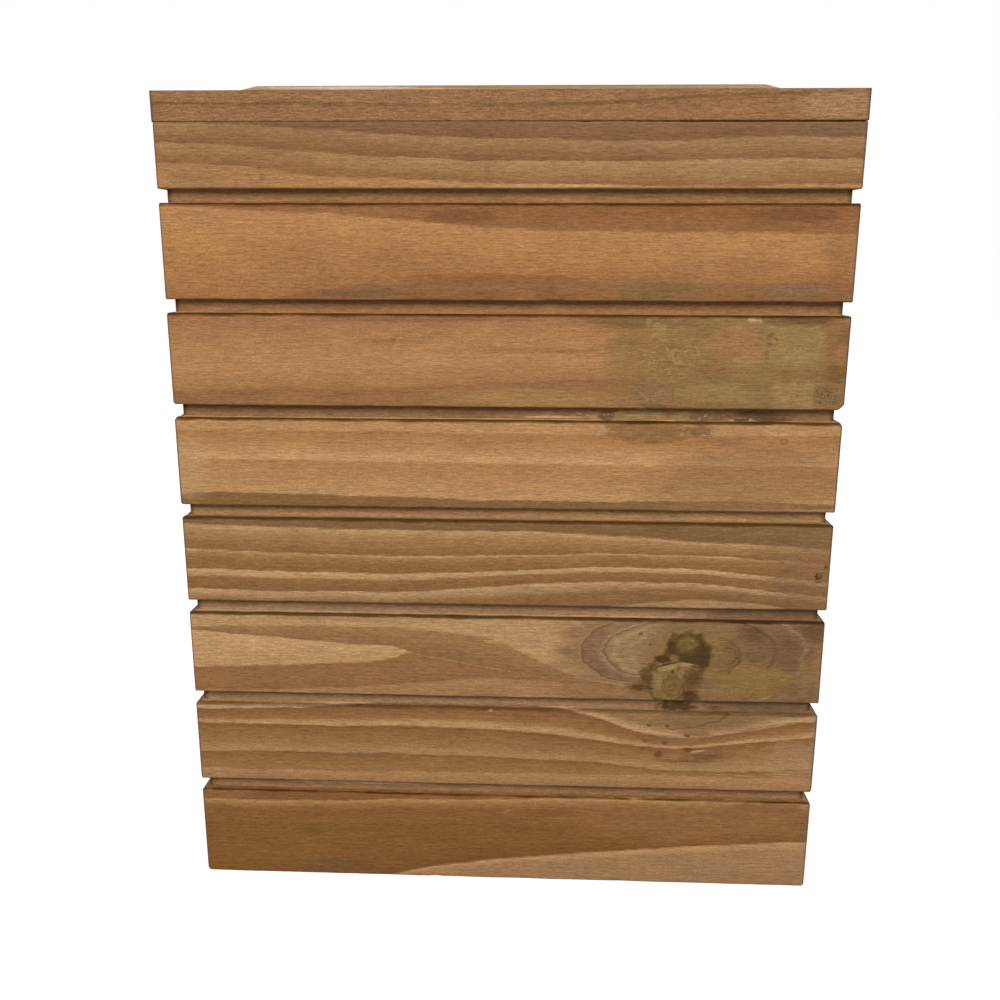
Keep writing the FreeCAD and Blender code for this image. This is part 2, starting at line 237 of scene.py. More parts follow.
def ring(x, z, wide, high, stops, **more):
    """Mark whose tone changes from its middle outwards.

    Each stop is a part of the mark's half size, a tone and its strength. More may give how ragged it is,
    the size of the grain that frays it, its tilt in degrees, how deep it lies and how thick it is, the two
    places along the board between which it fades in, and the crumbs that it falls into.
    """
    return {"at": (x, z), "half": (wide, high), "stops": stops, **more}


def stain(x, z, wide, high, tone, strength, soft=0.5, **more):
    """Mark of one tone that fades out over a soft share of its half size."""
    stops = [(0.0, tone, strength), (1.0 - soft, tone, strength), (1.0, tone, 0.0)]
    return ring(x, z, wide, high, stops, **more)


def speck(x, z, wide, high, tone, strength, ragged=0.4, **more):
    """Small stain with a frayed rim."""
    return stain(x, z, wide, high, tone, strength, ragged=ragged, size=(2, 4, 1.6), **more)


def arc(x, z, wide, high, tone, strength, band, **more):
    """Line round a middle. Its band says where it begins, is strongest and ends on the way out."""
    begins, strongest, ends = band
    stops = [(0.0, tone, 0.0), (begins, tone, 0.0), (strongest, tone, strength), (ends, tone, 0.0)]
    return ring(x, z, wide, high, stops, **more)


def pine(name, place_of, low, high, half_length, figure, seed,
         planed=True, channel=None, dirty_and_shaded_edges=(), fuzz=1.0):
    """Pressure-treated pine, planed or left from the saw, and weathered a little.

    The eye gets honey and brown bands where the cut went through the growth rings, short dark and pale
    fibres along the grain, knots with their rings, and an olive cast where the treatment took most.
    Left from the saw it is paler and duller, with the teeth's marks across the grain.
    """
    finish, tree = new_finish(name)
    place = grain_place(tree, *place_of)
    along, depth, height = add(tree, "SeparateXYZ", (place,)).outputs

    # Growth lines waver over some 40 mm, and their edges fray over a few fibres
    wavy = fibre_noise(tree, place, (42.0, 20.0, 10.0), seed)
    waver = add(tree, "MapRange", (wavy, 0.0, 1.0, -1.6, 1.6))
    frayed = fibre_noise(tree, place, (9.0, 2.0, 0.8), seed + 1.0, detail=3.0)
    fray = add(tree, "MapRange", (frayed, 0.0, 1.0, -1.5, 1.5))
    bend = add(tree, "Math", (waver, fray), operation="ADD")
    tilt = add(tree, "Math", (depth, 0.3, bend), operation="MULTIPLY_ADD")
    level = add(tree, "Math", (height, tilt), operation="ADD")
    colour = growth_rings(tree, along, level, low, high, half_length, figure["lines"], figure["tones"])
    if channel:
        # The channel's floor is the board's tongue, hidden from the weather, so it has a tone of its own.
        # Behind the tongue, inside the box, the wood is the same all over.
        behind = add(tree, "MapRange", (depth, 11.0, 12.0, 0.0, MM))
        rise = add(tree, "Math", (height, behind), operation="SUBTRACT")
        floor = add(tree, "MapRange", (rise, high + 0.1, high + 0.5, 0.0, 0.85))
        colour = add(tree, "Mix", (floor, colour, linear(channel)), data_type="RGBA")
    # Put together again from its three parts, the place comes to the marks after the growth rings. So the
    # renderer works the marks out one by one, where it can't hold all those of a board at a time.
    board_place = add(tree, "CombineXYZ", (along, depth, height))
    for order, mark in enumerate(figure.get("marks", ())):
        colour = marked(tree, colour, board_place, along, height, mark, seed + 2.0 + order)
    if dirty_and_shaded_edges:
        # Painted shade: the rounded corner where two walls meet is painted a dark grey along its edge
        end = add(tree, "Math", (along,), operation="ABSOLUTE")
        short_of_end = add(tree, "Math", (half_length, end), operation="SUBTRACT")
        beside_corner = add(tree, "CombineXYZ", (short_of_end, depth, 0.0))
        from_corner = add(tree, "VectorMath", (beside_corner,), operation="LENGTH")
        corner = add(tree, "MapRange", (from_corner, 0.6, 1.8, 0.75, 0.0))
        colour = add(tree, "Mix", (corner, colour, linear("54483e")), data_type="RGBA")

    # Cloudy tone over a hand's breadth, streaks, fibres and pores. Real fibres are some 0.04 mm thick and
    # pores hardly more, so these are drawn coarser to show at the photograph's scale.
    # Each: the noise, the span of it that counts, and how far it darkens and lightens the wood.
    fibre = fibre_noise(tree, place, (6.0, 1.4, 0.75), seed + 62.0, detail=3.0, roughness=0.65)
    coarse, fine = 0.38 * fuzz, 0.2 * fuzz
    patterns = [
        (fibre_noise(tree, place, (36.0, 20.0, 12.0), seed + 60.0, detail=3.0), 0.3, 0.7, 0.93, 1.07),
        (fibre_noise(tree, place, (28.0, 3.0, 1.3), seed + 61.0), 0.3, 0.7, 0.86, 1.14),
        (fibre, 0.25, 0.75, 1.0 - coarse, 1.0 + coarse),
        (fibre_noise(tree, place, (1.5, 1.0, 0.9), seed + 65.0), 0.25, 0.75, 1.0 - fine, 1.0 + fine),
        (fibre_noise(tree, place, (9.0, 1.5, 0.8), seed + 63.0), 0.61, 0.72, 1.0, 0.74),
    ]
    dirt_and_shade_spans = []
    for edge, spread, darkest in dirty_and_shaded_edges:
        # Dirt and painted shade along the arris, some way down the face and in on the ledge
        beside = add(tree, "Mapping", {
            "Vector": place, "Location": (0.0, 0.0, edge), "Scale": (MM * MM, 1.6 * spread, spread),
        }, vector_type="TEXTURE")
        distance = add(tree, "VectorMath", (beside,), operation="LENGTH")
        uneven = fibre_noise(tree, place, (22.0, 3.0, 3.0), seed + 66.0)
        patchy = add(tree, "MapRange", (uneven, 0.3, 0.7, -0.25, 0.25))
        dirt_and_shade_spans.append((add(tree, "Math", (distance, patchy), operation="ADD"), 0.5, 1.2, darkest, 1.0))
    if dirty_and_shaded_edges:
        # End grain drank more of the treatment
        patterns.append((short_of_end, 0.1, 0.3, 0.68, 1.0))
    if channel:
        # Painted shadow in the channel's upper corner, under the board above, and a darker tone where the
        # channel runs out at the corner of the box
        off_channel = add(tree, "MapRange", (rise, high, high + 0.5, MM, 0.0))
        run_out = add(tree, "Math", (short_of_end, off_channel), operation="ADD")
        dirt_and_shade_spans += [(rise, high + 1.5, high + 6.5, 1.0, 0.86), (run_out, 4.5, 8.0, 0.3, 1.0)]
    if not planed:
        saw = fibre_noise(tree, place, (1.6, 40.0, 60.0), seed + 64.0)
        patterns.append((saw, 0.35, 0.65, 0.9, 1.06))
    dirt_and_shade = 1.0
    for pattern in dirt_and_shade_spans:
        dirt_and_shade = add(tree, "Math", (dirt_and_shade, add(tree, "MapRange", pattern)), operation="MULTIPLY")
    shade = dirt_and_shade
    for pattern in patterns:
        shade = add(tree, "Math", (shade, add(tree, "MapRange", pattern)), operation="MULTIPLY")
    # Wood darkened by dirt and by painted shade is painted a deeper brown, not a greyer one
    depth_of_brown = add(tree, "MapRange", (dirt_and_shade, 0.3, 0.6, 1.21, 1.0)) if dirt_and_shade_spans else 1.0
    toned = add(tree, "HueSaturation", {"Color": colour, "Saturation": depth_of_brown, "Value": shade})

    relief = add(tree, "Bump", {"Height": fibre, "Strength": 0.4, "Distance": 0.0005})
    if not planed:
        relief = add(tree, "Bump", {"Height": saw, "Strength": 0.5, "Distance": 0.0006, "Normal": relief})
    dull = (0.58, 0.76) if planed else (0.75, 0.92)
    shader = add(tree, "BsdfPrincipled", {
        "Base Color": toned,
        "Roughness": add(tree, "MapRange", (fibre, 0.2, 0.8, *dull)),
        "IOR": 1.5,
        "Specular IOR Level": 0.12,
        "Normal": relief,
    })
    add(tree, "OutputMaterial", {"Surface": shader})
    return finish


# Growth lines, tones and marks of the boards at the front, from the top down.
# A line is given as (along, height) and a year's tones run from its top to its bottom.
FRONT_FIGURES = {}
FRONT_FIGURES[8] = {
    "lines": [
        [(-200, 478.5), (-150, 477.5), (-100, 474.3), (-60, 472), (-20, 470.3), (20, 469.5), (60, 468.5),
         (100, 468.6), (140, 470.5), (200, 470)],
        [(-200, 467.8), (-160, 466.6), (-120, 463.5), (-80, 460.8), (-40, 459.3), (0, 458.3), (40, 458),
         (80, 457.8), (140, 459), (200, 459.2)],
        [(-200, 456.8), (-160, 455.8), (-120, 451.5), (-80, 448.8), (-40, 447.6), (0, 446.2), (60, 445),
         (140, 444.8), (200, 446)],
    ],
    "tones": [
        ("96714d", "80593a"),
        ("a07a54", "966d46", "855e3a"),
        ("ac8259", "a0774e", "90653d"),
        ("b48758", "a2744a"),
    ],
    "marks": [
        stain(178, 474, 28, 4.5, "7a5d46", 0.65),
        stain(-140, 461, 78, 26, "90643d", 0.35, size=(24, 4, 8)),
        speck(-8, 471.5, 1.9, 1.4, "6a4a30", 0.75),
        stain(30, 444.4, 55, 1.4, "c09868", 0.8),
        speck(-138, 449, 2.4, 2.2, "7d5836", 0.5),
        stain(-10, 452, 2.2, 6, "80603c", 0.4),
        stain(125, 453, 28, 8, "a8845c", 0.5, size=(14, 4, 3)),
        stain(150, 478.5, 90, 0.6, "4f341c", 0.75, size=(14, 4, 2)),
    ],
}
FRONT_FIGURES[7] = {
    "channel": "987048",
    "lines": [
        [(-200, 434.8), (-160, 432.3), (-120, 430.2), (-80, 428), (-40, 424.6), (0, 421.6), (40, 420.2),
         (80, 419.6), (140, 419.4), (200, 418.5)],
        [(-200, 372), (-150, 378), (-100, 388), (-60, 391), (0, 392), (60, 391), (120, 391), (200, 392)],
    ],
    "tones": [
        ("744c2b", "8a5c36", "91613a"),
        ("b17f50", "b07c4a", "a06f42"),
        ("936640", "875c39"),
    ],
    "marks": [
        stain(-90, 405, 85, 12, "a06f43", 0.5, size=(30, 4, 6)),
        stain(165, 429, 32, 5, "744b2c", 0.8),
        stain(192, 408, 14, 22, "926640", 0.5),
        stain(-25, 428, 26, 4.5, "784d2d", 0.7),
        stain(90, 387, 34, 8, "82663c", 0.7),
        stain(163, 387, 22, 6, "82674a", 0.55, size=(9, 4, 3)),
        stain(168, 387, 16, 5, "ab8a60", 0.6, crumbs=((2.6, 1, 1.4), 0.58)),
        stain(-5, 393, 60, 3.5, "83562f", 0.6, size=(12, 4, 1)),
        stain(-85, 384.5, 42, 3, "79563a", 0.7),
        stain(120, 400, 40, 12, "9c6f48", 0.4, size=(24, 4, 6)),
    ],
}
FRONT_FIGURES[6] = {
    "channel": "976a45",
    "lines": [
        [(-200, 326), (-160, 327.4), (-120, 328.4), (-80, 329), (-50, 330), (-20, 332), (20, 334),
         (60, 335.2), (120, 336), (200, 337)],
    ],
    "tones": [
        (("996b40", 0.0), ("a2734a", 0.33), ("b08051", 0.62), ("b38254", 0.8), ("a3754a", 1.0)),
        ("936640", "9a6f46", "9c7448"),
    ],
    "marks": [
        stain(-55, 370.8, 80, 3.4, "85593a", 0.7),
        stain(12, 323, 66, 9, "a57d4c", 0.8, soft=0.6, size=(16, 4, 3)),
        stain(15, 352, 50, 2.4, "8e6238", 0.5),
        stain(-70, 357, 34, 1.6, "8e6238", 0.4),
        # The treatment pooled towards this end and dried in olive patches
        stain(140, 345, 84, 46, "8d6e43", 0.9, soft=0.4, ragged=0.22, size=(16, 4, 8)),
        stain(78, 349, 24, 24, "8e6b40", 0.6, size=(16, 4, 8)),
        stain(75, 369, 40, 4.5, "7d5c38", 0.75, size=(14, 4, 1.6)),
        stain(134, 356, 22, 14, "a2754a", 0.9, soft=0.45, size=(9, 4, 5)),
        stain(142, 347, 10, 5, "a57d52", 0.7, size=(7, 4, 3)),
        stain(121, 340, 14, 4.5, "8c643f", 0.8, size=(7, 4, 2)),
        stain(100, 349, 24, 14, "a58454", 0.7, crumbs=((2.2, 1, 1.9), 0.54)),
        stain(100, 349, 20, 12, "765831", 0.6, crumbs=((2, 1, 1.7), 0.57)),
        stain(90, 364.6, 4.6, 4.4, "9f7f50", 0.85, soft=0.3, ragged=0.25, size=(4, 4, 3), square=True),
        stain(84, 368.6, 2.2, 3.4, "977a4b", 0.8, soft=0.5, size=(3, 4, 2)),
        stain(169, 356, 18, 13.5, "997a4c", 0.85, soft=0.3, ragged=0.3, size=(7, 4, 5), square=True),
        stain(171, 349.5, 9, 5, "9f804f", 0.75, soft=0.6, size=(6, 4, 3)),
        stain(179, 366.6, 7, 1.4, "a0845a", 0.75, tilt=-14.0),
        stain(152.8, 352, 1.4, 9, "79583a", 0.45, soft=0.7, ragged=0.45, size=(2, 4, 3)),
        stain(155.4, 359, 4.2, 6.5, "65472a", 0.7, crumbs=((2.2, 1, 1.5), 0.52)),
        stain(158, 355, 5, 2.6, "6c4e2e", 0.5, crumbs=((2.6, 1, 0.9), 0.55)),
        stain(172, 370.6, 27, 4.6, "684829", 0.8, soft=0.6, size=(10, 4, 3)),
        stain(155, 362, 1.6, 1.4, "6a4c2a", 0.5),
        stain(170, 326.5, 14.5, 9, "9c7c50", 0.85, soft=0.25, ragged=0.3, size=(6, 4, 4), square=True),
        stain(126, 328, 30, 7, "97764b", 0.85, soft=0.4, size=(12, 4, 3)),
        stain(194, 340, 9, 7, "7b5630", 0.85, soft=0.5, size=(5, 4, 3)),
        stain(190.5, 357, 5.6, 12, "8d633d", 0.85, soft=0.6, size=(4, 4, 5)),
        stain(197, 357, 5, 14, "82593a", 0.85, size=(4, 4, 5)),
        stain(196, 351, 3.5, 9, "a5744c", 0.6, size=(3, 4, 3)),
        stain(86, 326, 15, 8, "8a6a47", 0.85, soft=0.5, ragged=0.35, size=(6, 4, 3)),
        stain(88, 327, 15, 7, "9c7c56", 0.6, crumbs=((3, 1, 2), 0.53)),
        stain(86, 326, 17, 8, "70512f", 0.6, crumbs=((2.6, 1, 1.8), 0.56)),
        stain(99.4, 328, 1.2, 6, "75562f", 0.5, soft=0.7),
        stain(190, 327, 10, 9, "836640", 0.8),
        stain(189.5, 327.5, 10, 9.5, "563a1c", 0.8, crumbs=((1.5, 1, 1.2), 0.555)),
        stain(168, 339.5, 30, 3.4, "8a653e", 0.7, soft=0.6, size=(12, 4, 2)),
        stain(165, 324, 18, 8, "6a4f2c", 0.7, crumbs=((1.8, 1, 1.2), 0.63)),
        stain(122, 320.5, 14, 2.2, "73542f", 0.6, crumbs=((5, 1, 1.2), 0.5)),
        # Chips out of the edges, pale where fresh wood shows
        stain(144.5, 370.6, 5.4, 2.0, "b48c64", 0.95, soft=0.3, ragged=0.4, size=(3, 4, 1.6)),
        stain(143, 371, 2.4, 1.0, "cfa67c", 0.9, soft=0.4),
        stain(89, 319.6, 8, 2.0, "7a5c3d", 0.85, soft=0.4, ragged=0.4, size=(4, 4, 1.6)),
        stain(89.5, 318.6, 3.2, 0.8, "947a5c", 0.8),
        stain(-65, 358, 1.6, 1.0, "6f4c2c", 0.7, ragged=0.3),
    ],
}
FRONT_FIGURES[5] = {
    "channel": "865e3d",
    "lines": [
        [(-200, 302.8), (-120, 302.8), (-40, 302.5), (40, 302), (120, 302), (200, 303)],
        [(-200, 285.5), (-140, 285), (-80, 284.8), (-20, 284.3), (40, 284), (100, 284), (200, 284.5)],
        [(-200, 262), (-185, 264.2), (-140, 264), (-80, 263), (-20, 261.6), (40, 261), (80, 261.6),
         (120, 262.2), (160, 262), (200, 260.5)],
        [(-200, 250), (0, 252), (60, 255.5), (120, 257), (160, 257.8), (200, 258.5)],
    ],
    "tones": [
        ("ac7d4e", "b88a5b"),
        ("a77647", "b48454", "c69767"),
        ("ad7e4d", "b28454", "ba8e5d"),
        ("83603a", "8a6540"),
        ("ac8156", "a87d52"),
    ],
    "marks": [
        stain(150, 277, 78, 30, "936b46", 0.6, size=(24, 4, 8)),
        # Stain that ran over the edge from the patch in the channel above
        stain(84, 305, 27, 8, "8e673d", 0.85, soft=0.25, ragged=0.3, size=(8, 4, 3)),
        arc(87, 304, 25, 7.4, "7a5529", 0.6, (0.7, 0.88, 1.0),
            ragged=0.3, size=(8, 4, 3), fade=(62, 84)),
        stain(117, 305.4, 11, 4.4, "835d3e", 0.9, soft=0.5, size=(5, 4, 2)),
        stain(112, 303, 16, 5, "6e4f30", 0.6, crumbs=((3, 1, 1.4), 0.58)),
        stain(124.2, 305, 2.0, 2.6, "a6815a", 0.85, soft=0.4, ragged=0.2, size=(2, 4, 2), square=True),
        stain(160, 305, 11, 4.5, "c79f73", 0.8, crumbs=((4, 1, 1.4), 0.52)),
        stain(157, 305, 8, 0.7, "cda679", 0.7, tilt=24.0),
        ring(
            166.4, 299.6, 2.4, 2.2, ragged=0.3, size=(2, 4, 2),
            stops=[(0.0, "8a6a42", 0.5), (0.5, "8a6a42", 0.5), (0.8, "684a28", 0.7), (1.0, "684a28", 0.0)],
        ),
        stain(-192, 280, 14, 24, "c0986b", 0.55),
        # Old filler in the channel, smeared along it, with dirt beside it
        stain(150, 312.4, 25, 7, "62432a", 0.9, depth=4.5, size=(8, 3, 2)),
        stain(61, 313, 6, 6, "62432a", 0.7, depth=4.5),
        stain(81, 313.2, 16.5, 4.6, "98774a", 1.0, soft=0.15, depth=4.5, ragged=0.3, size=(4, 3, 2)),
        stain(82, 313.8, 14, 1.0, "ab8f5e", 0.8, depth=4.5),
        stain(106.5, 313, 6.5, 4.0, "94744c", 1.0, soft=0.15, depth=4.5, ragged=0.3, size=(4, 3, 2)),
        stain(122, 313, 13, 4.0, "7a5c39", 0.95, soft=0.25, depth=4.5, ragged=0.4, size=(4, 3, 2)),
        stain(122, 313, 14, 4.0, "aa8c60", 0.8, depth=4.5, crumbs=((3, 1, 1.2), 0.56)),
        stain(140, 311.4, 14, 1.6, "a58a64", 0.85, depth=4.5, crumbs=((3, 1, 1), 0.5)),
        stain(30, 312.2, 20, 0.9, "c89e70", 0.85, depth=4.5),
        stain(45, 313.4, 28, 3.6, "b08a5c", 0.7, depth=4.5, crumbs=((3, 1, 1.2), 0.54)),
    ],
}
FRONT_FIGURES[4] = {
    "channel": "a57d52",
    "lines": [
        [(-200, 243.6), (-160, 243), (-120, 242.2), (-80, 241.6), (0, 241.9), (60, 240), (100, 238.2),
         (120, 236.8), (160, 234.6), (200, 232.8)],
        [(-200, 228), (-160, 226.6), (-120, 225.6), (-80, 225.2), (-40, 225.2), (0, 226.2), (40, 227.6),
         (80, 228.6), (120, 228), (160, 226), (200, 222.8)],
        [(-200, 214.6), (-120, 213.6), (-80, 213.3), (-40, 214.3), (0, 216.6), (40, 218.6), (80, 219.6),
         (120, 219.1), (150, 217.1), (200, 211.8)],
        [(-200, 201.6), (-140, 201), (-80, 201.2), (-50, 202.4), (-20, 205), (20, 208.4), (60, 210),
         (100, 210.5), (130, 209.5), (160, 206.2), (200, 202.5)],
        [(-200, 184), (0, 186), (40, 190), (60, 193.2), (80, 196), (100, 198), (130, 199.2), (150, 198),
         (200, 192)],
    ],
    "tones": [
        ("8a6842", "7d5b37"),
        (("b58e62", 0.0), ("a2794e", 0.3), ("8a6038", 1.0)),
        (("b88f63", 0.0), ("a0764b", 0.14), ("92693f", 0.4), ("8a6138", 1.0)),
        (("c09970", 0.0), ("b48d63", 0.25), ("92683f", 0.38), ("86603a", 1.0)),
        (("bc956a", 0.0), ("a9825a", 0.2), ("8d663f", 0.42), ("835d38", 1.0)),
        ("a8825a", "9a754e"),
    ],
    "marks": [
        stain(195, 220, 48, 36, "836040", 0.6, size=(24, 4, 8)),
        stain(193, 215, 3.2, 5, "46301a", 0.95, crumbs=((1.8, 1, 1.6), 0.46)),
        stain(197, 222, 1.6, 1.6, "46301a", 0.8),
    ],
}
FRONT_FIGURES[3] = {
    "channel": "947050",
    "lines": [
        [(-200, 175.5), (-170, 177), (-100, 178), (-60, 177), (-20, 173.5), (0, 168), (10, 163), (20, 158),
         (40, 149.5), (60, 143.5), (80, 140), (120, 137), (200, 133)],
        [(-200, 174.5), (-160, 171), (-120, 168), (-100, 166.6), (-72, 165), (-62, 162), (-40, 157),
         (0, 150), (40, 144), (80, 138), (200, 131)],
        [(-200, 148.5), (-160, 150), (-120, 152.5), (-80, 155.6), (-68, 158), (-60, 161), (-40, 157),
         (0, 150), (40, 144), (80, 138), (200, 131)],
        [(-200, 132.5), (-120, 135), (-80, 138), (-40, 142), (-10, 144.5), (20, 144), (40, 142), (60, 139.5),
         (80, 136), (200, 129)],
    ],
    "tones": [
        ("ac835a", "b48d61"),
        ("99724a", "8f6741"),
        ("c4996a", "ba9063", "bb8f64"),
        ("92673f", "956a44", "91653f"),
        ("a57b53", "a0764f"),
    ],
    "marks": [
        stain(-5, 169.5, 9, 1.8, "c08f62", 0.8),
        stain(-100, 183, 60, 2.4, "96744c", 0.5),
        # The wood that grew round the knots is browner and bends about them
        stain(128, 160, 104, 70, "886644", 0.9, soft=0.3, ragged=0.2, size=(24, 4, 12)),
        stain(56, 137, 34, 6, "966f49", 0.7),
        ring(
            110, 165, 67.7, 28.1, thick=6.0, ragged=0.05, size=(18, 6, 9),
            stops=[
                (0.0, "87683f", 0.9), (0.5, "8b6a45", 0.9), (0.72, "886647", 0.85),
                (0.88, "846246", 0.85), (0.902, "654a2e", 0.75), (0.922, "9c7b56", 0.75),
                (0.95, "967450", 0.55), (1.0, "906e4a", 0.0),
            ],
        ),
        ring(
            110, 165, 53, 22.1, thick=6.0, ragged=0.06, size=(14, 6, 7),
            fade=(106, 84),
            stops=[
                (0.0, "906e47", 0.85), (0.55, "96744e", 0.85), (0.85, "9a7852", 0.85),
                (0.885, "75573a", 0.75), (0.915, "a38460", 0.75), (0.95, "93714d", 0.5),
                (1.0, "8a6848", 0.0),
            ],
        ),
        stain(92, 179, 12, 4, "9c7a53", 0.7, tilt=-20.0),
        stain(72, 182.2, 14, 2.4, "98764f", 0.7, tilt=-20.0),
        # Rings on the far side
        stain(160, 170, 24, 20, "775a3a", 0.8, soft=0.5, size=(12, 4, 6)),
        stain(155, 177, 12, 6, "644729", 0.75, soft=0.6, tilt=24.0),
        arc(110, 165, 68.3, 28.4, "553c22", 0.75, (0.86, 0.895, 0.93),
            ragged=0.05, size=(12, 6, 6), fade=(138, 150)),
        stain(182, 165, 16, 24, "6e5235", 0.85, soft=0.5, size=(9, 4, 6)),
        ring(
            110, 165, 86, 35.7, ragged=0.05, size=(14, 6, 7), fade=(158, 172),
            stops=[
                (0.0, "7d5f43", 0.0), (0.86, "7d5f43", 0.3), (0.9, "80624a", 0.6), (0.925, "a0815e", 0.65),
                (0.95, "7a5c3c", 0.3), (1.0, "7a5c3c", 0.0),
            ],
        ),
        stain(196, 181, 14, 11, "644a2f", 0.85, soft=0.5),
        # Resin has stained the wood round the knots olive
        stain(122, 166, 32, 30, "83653b", 0.75, soft=0.7, size=(12, 4, 8)),
        stain(160, 145, 38, 13, "8a6b3c", 0.9, soft=0.5, size=(16, 4, 3)),
        stain(150, 151, 26, 5, "907040", 0.5, size=(16, 4, 2)),
        stain(188, 138, 18, 8, "7e6043", 0.8, size=(9, 4, 3)),
        stain(166, 134.6, 8, 0.9, "a08660", 0.6, tilt=-24.0),
        ring(
            133, 162.5, 17.5, 13.5, ragged=0.12, size=(6, 6, 4), fade=(132, 143),
            stops=[
                (0.0, "765a34", 0.6), (0.82, "765a34", 0.7), (0.92, "5c4424", 0.75), (1.0, "5c4424", 0.0),
            ],
        ),
        ring(
            140.5, 162.6, 6.6, 6.2, ragged=0.14, size=(5, 6, 3), fade=(136, 142),
            stops=[(0.0, "876840", 0.4), (0.7, "876840", 0.4), (0.86, "573f20", 0.65), (1.0, "573f20", 0.0)],
        ),
        arc(110, 165, 44, 18.5, "b08c62", 0.6, (0.83, 0.92, 1.0),
            ragged=0.09, size=(12, 6, 5), fade=(96, 80)),
        arc(110, 164, 36, 15, "a88560", 0.45, (0.8, 0.9, 1.0),
            ragged=0.1, size=(10, 6, 4), fade=(94, 84)),
        stain(188, 156, 6, 9, "86683f", 0.7, soft=0.6),
        stain(191, 171, 4.5, 2.6, "8e6f4e", 0.65, soft=0.6),
        stain(70, 164.5, 1.5, 7, "a88862", 0.7, ragged=0.4, size=(2, 4, 5)),
        stain(82, 159, 2.2, 8, "9d7c56", 0.6, ragged=0.4, size=(2, 4, 5)),
        stain(62, 143.8, 26, 0.9, "a9875e", 0.55, tilt=9.5),
        speck(86, 176.5, 1.7, 1.4, "63462a", 0.8),
        speck(92.5, 169.5, 1.4, 1.5, "63462a", 0.8),
        # Upper knot in a dark collar that runs down on its right
        stain(116.8, 167.4, 14.4, 12.4, "503a19", 0.95, soft=0.3, ragged=0.25, size=(5, 6, 5)),
        stain(125.6, 162, 6.0, 13, "4a331c", 0.95, soft=0.4, ragged=0.3, size=(5, 6, 5)),
        stain(119, 160.5, 9, 4.4, "4c361b", 0.9, ragged=0.35, size=(4, 6, 3)),
        ring(
            115.2, 170, 9.4, 7.4, ragged=0.3, size=(5, 6, 4),
            stops=[
                (0.0, "745d35", 0.95), (0.25, "664f2b", 0.95), (0.45, "7a633b", 0.95),
                (0.65, "68512d", 0.95), (0.8, "5a4422", 0.8), (1.0, "4f391a", 0.0),
            ],
        ),
        stain(105.4, 168, 3.0, 7.5, "49331a", 0.9, ragged=0.3, size=(3, 4, 3)),
        stain(107.4, 175, 3.6, 3.0, "5a3f16", 0.75, ragged=0.3, size=(3, 4, 3)),
        stain(103.4, 163, 3.8, 4.4, "573e17", 0.85, ragged=0.3, size=(3, 4, 3)),
        stain(112.6, 167.6, 2.0, 3.4, "6b5530", 0.8, ragged=0.4, size=(2, 4, 2)),
        stain(117.5, 172.5, 3.0, 1.6, "7f693f", 0.75, ragged=0.4, size=(2, 4, 2)),
        stain(107, 161.5, 5, 2.0, "7f6539", 0.8, ragged=0.4, size=(4, 4, 2)),
        # Lower knot, loose in its hole and worn pale
        stain(100.4, 159.4, 6.6, 3.4, "482f11", 0.95, soft=0.4, ragged=0.35, size=(4, 4, 2)),
        stain(94.6, 154.4, 4.8, 4.6, "583e16", 0.85, soft=0.6, ragged=0.35, size=(4, 4, 3)),
        stain(90.4, 148.5, 5.4, 10.5, "5b421c", 0.9, soft=0.6, ragged=0.35, size=(4, 4, 3)),
        stain(85.5, 140.2, 9.5, 3.4, "593d18", 0.95, soft=0.6, ragged=0.4, size=(5, 4, 2)),
        stain(118.4, 135.2, 8.6, 6.6, "4d3416", 0.95, soft=0.6, ragged=0.35, size=(4, 4, 3)),
        stain(120, 147.5, 8, 9.5, "5d441d", 0.9, soft=0.6, ragged=0.3, size=(4, 4, 3)),
        ring(
            103.6, 143, 13.2, 14.4, tilt=-14.0, ragged=0.24, size=(7, 6, 6),
            stops=[
                (0.0, "80663a", 0.95), (0.74, "836a3d", 0.95), (0.88, "5f4520", 0.9), (1.0, "503a1b", 0.0),
            ],
        ),
        stain(98, 146.5, 3.0, 8, "8f7649", 0.75, tilt=-20.0, ragged=0.4, size=(3, 4, 3)),
        stain(112.2, 150, 2.2, 5.6, "8d7448", 0.8, tilt=10.0, ragged=0.3, size=(3, 4, 3)),
        stain(103, 135.4, 4.2, 2.6, "8d6d3f", 0.75, ragged=0.35, size=(3, 4, 2)),
        ring(
            107.4, 141.4, 7.4, 8.4, ragged=0.22, size=(4, 6, 4),
            stops=[
                (0.0, "7d633a", 0.95), (0.3, "6f5730", 0.95), (0.5, "80663c", 0.95), (0.72, "735a32", 0.9),
                (0.84, "604823", 0.6), (1.0, "604823", 0.0),
            ],
        ),
        stain(104.5, 154.4, 8.4, 2.0, "9a8453", 0.95, soft=0.3, tilt=-17.0, ragged=0.25, size=(4, 4, 2)),
        stain(115.4, 156.0, 7.4, 1.6, "9c8656", 0.95, soft=0.3, tilt=7.0, ragged=0.25, size=(4, 4, 2)),
        stain(110, 156.3, 4.4, 1.2, "957b4e", 0.8, ragged=0.3, size=(4, 4, 2)),
        stain(104.6, 156.5, 8.4, 0.9, "43301a", 0.9, tilt=-15.0, ragged=0.4, size=(5, 4, 1.4)),
        stain(120.2, 155.0, 3.2, 1.1, "473118", 0.9, tilt=14.0, ragged=0.4, size=(2, 4, 1.4)),
        speck(107.2, 151.4, 1.3, 1.5, "4a3519", 0.9),
        stain(94, 139.6, 1.8, 0.9, "4a3519", 0.85, ragged=0.4, size=(2, 4, 1.2)),
        stain(106, 131.8, 8, 0.9, "5a4222", 0.8),
        stain(170, 188, 56, 9, "725539", 0.85, depth=4.5, size=(20, 3, 3)),
    ],
}
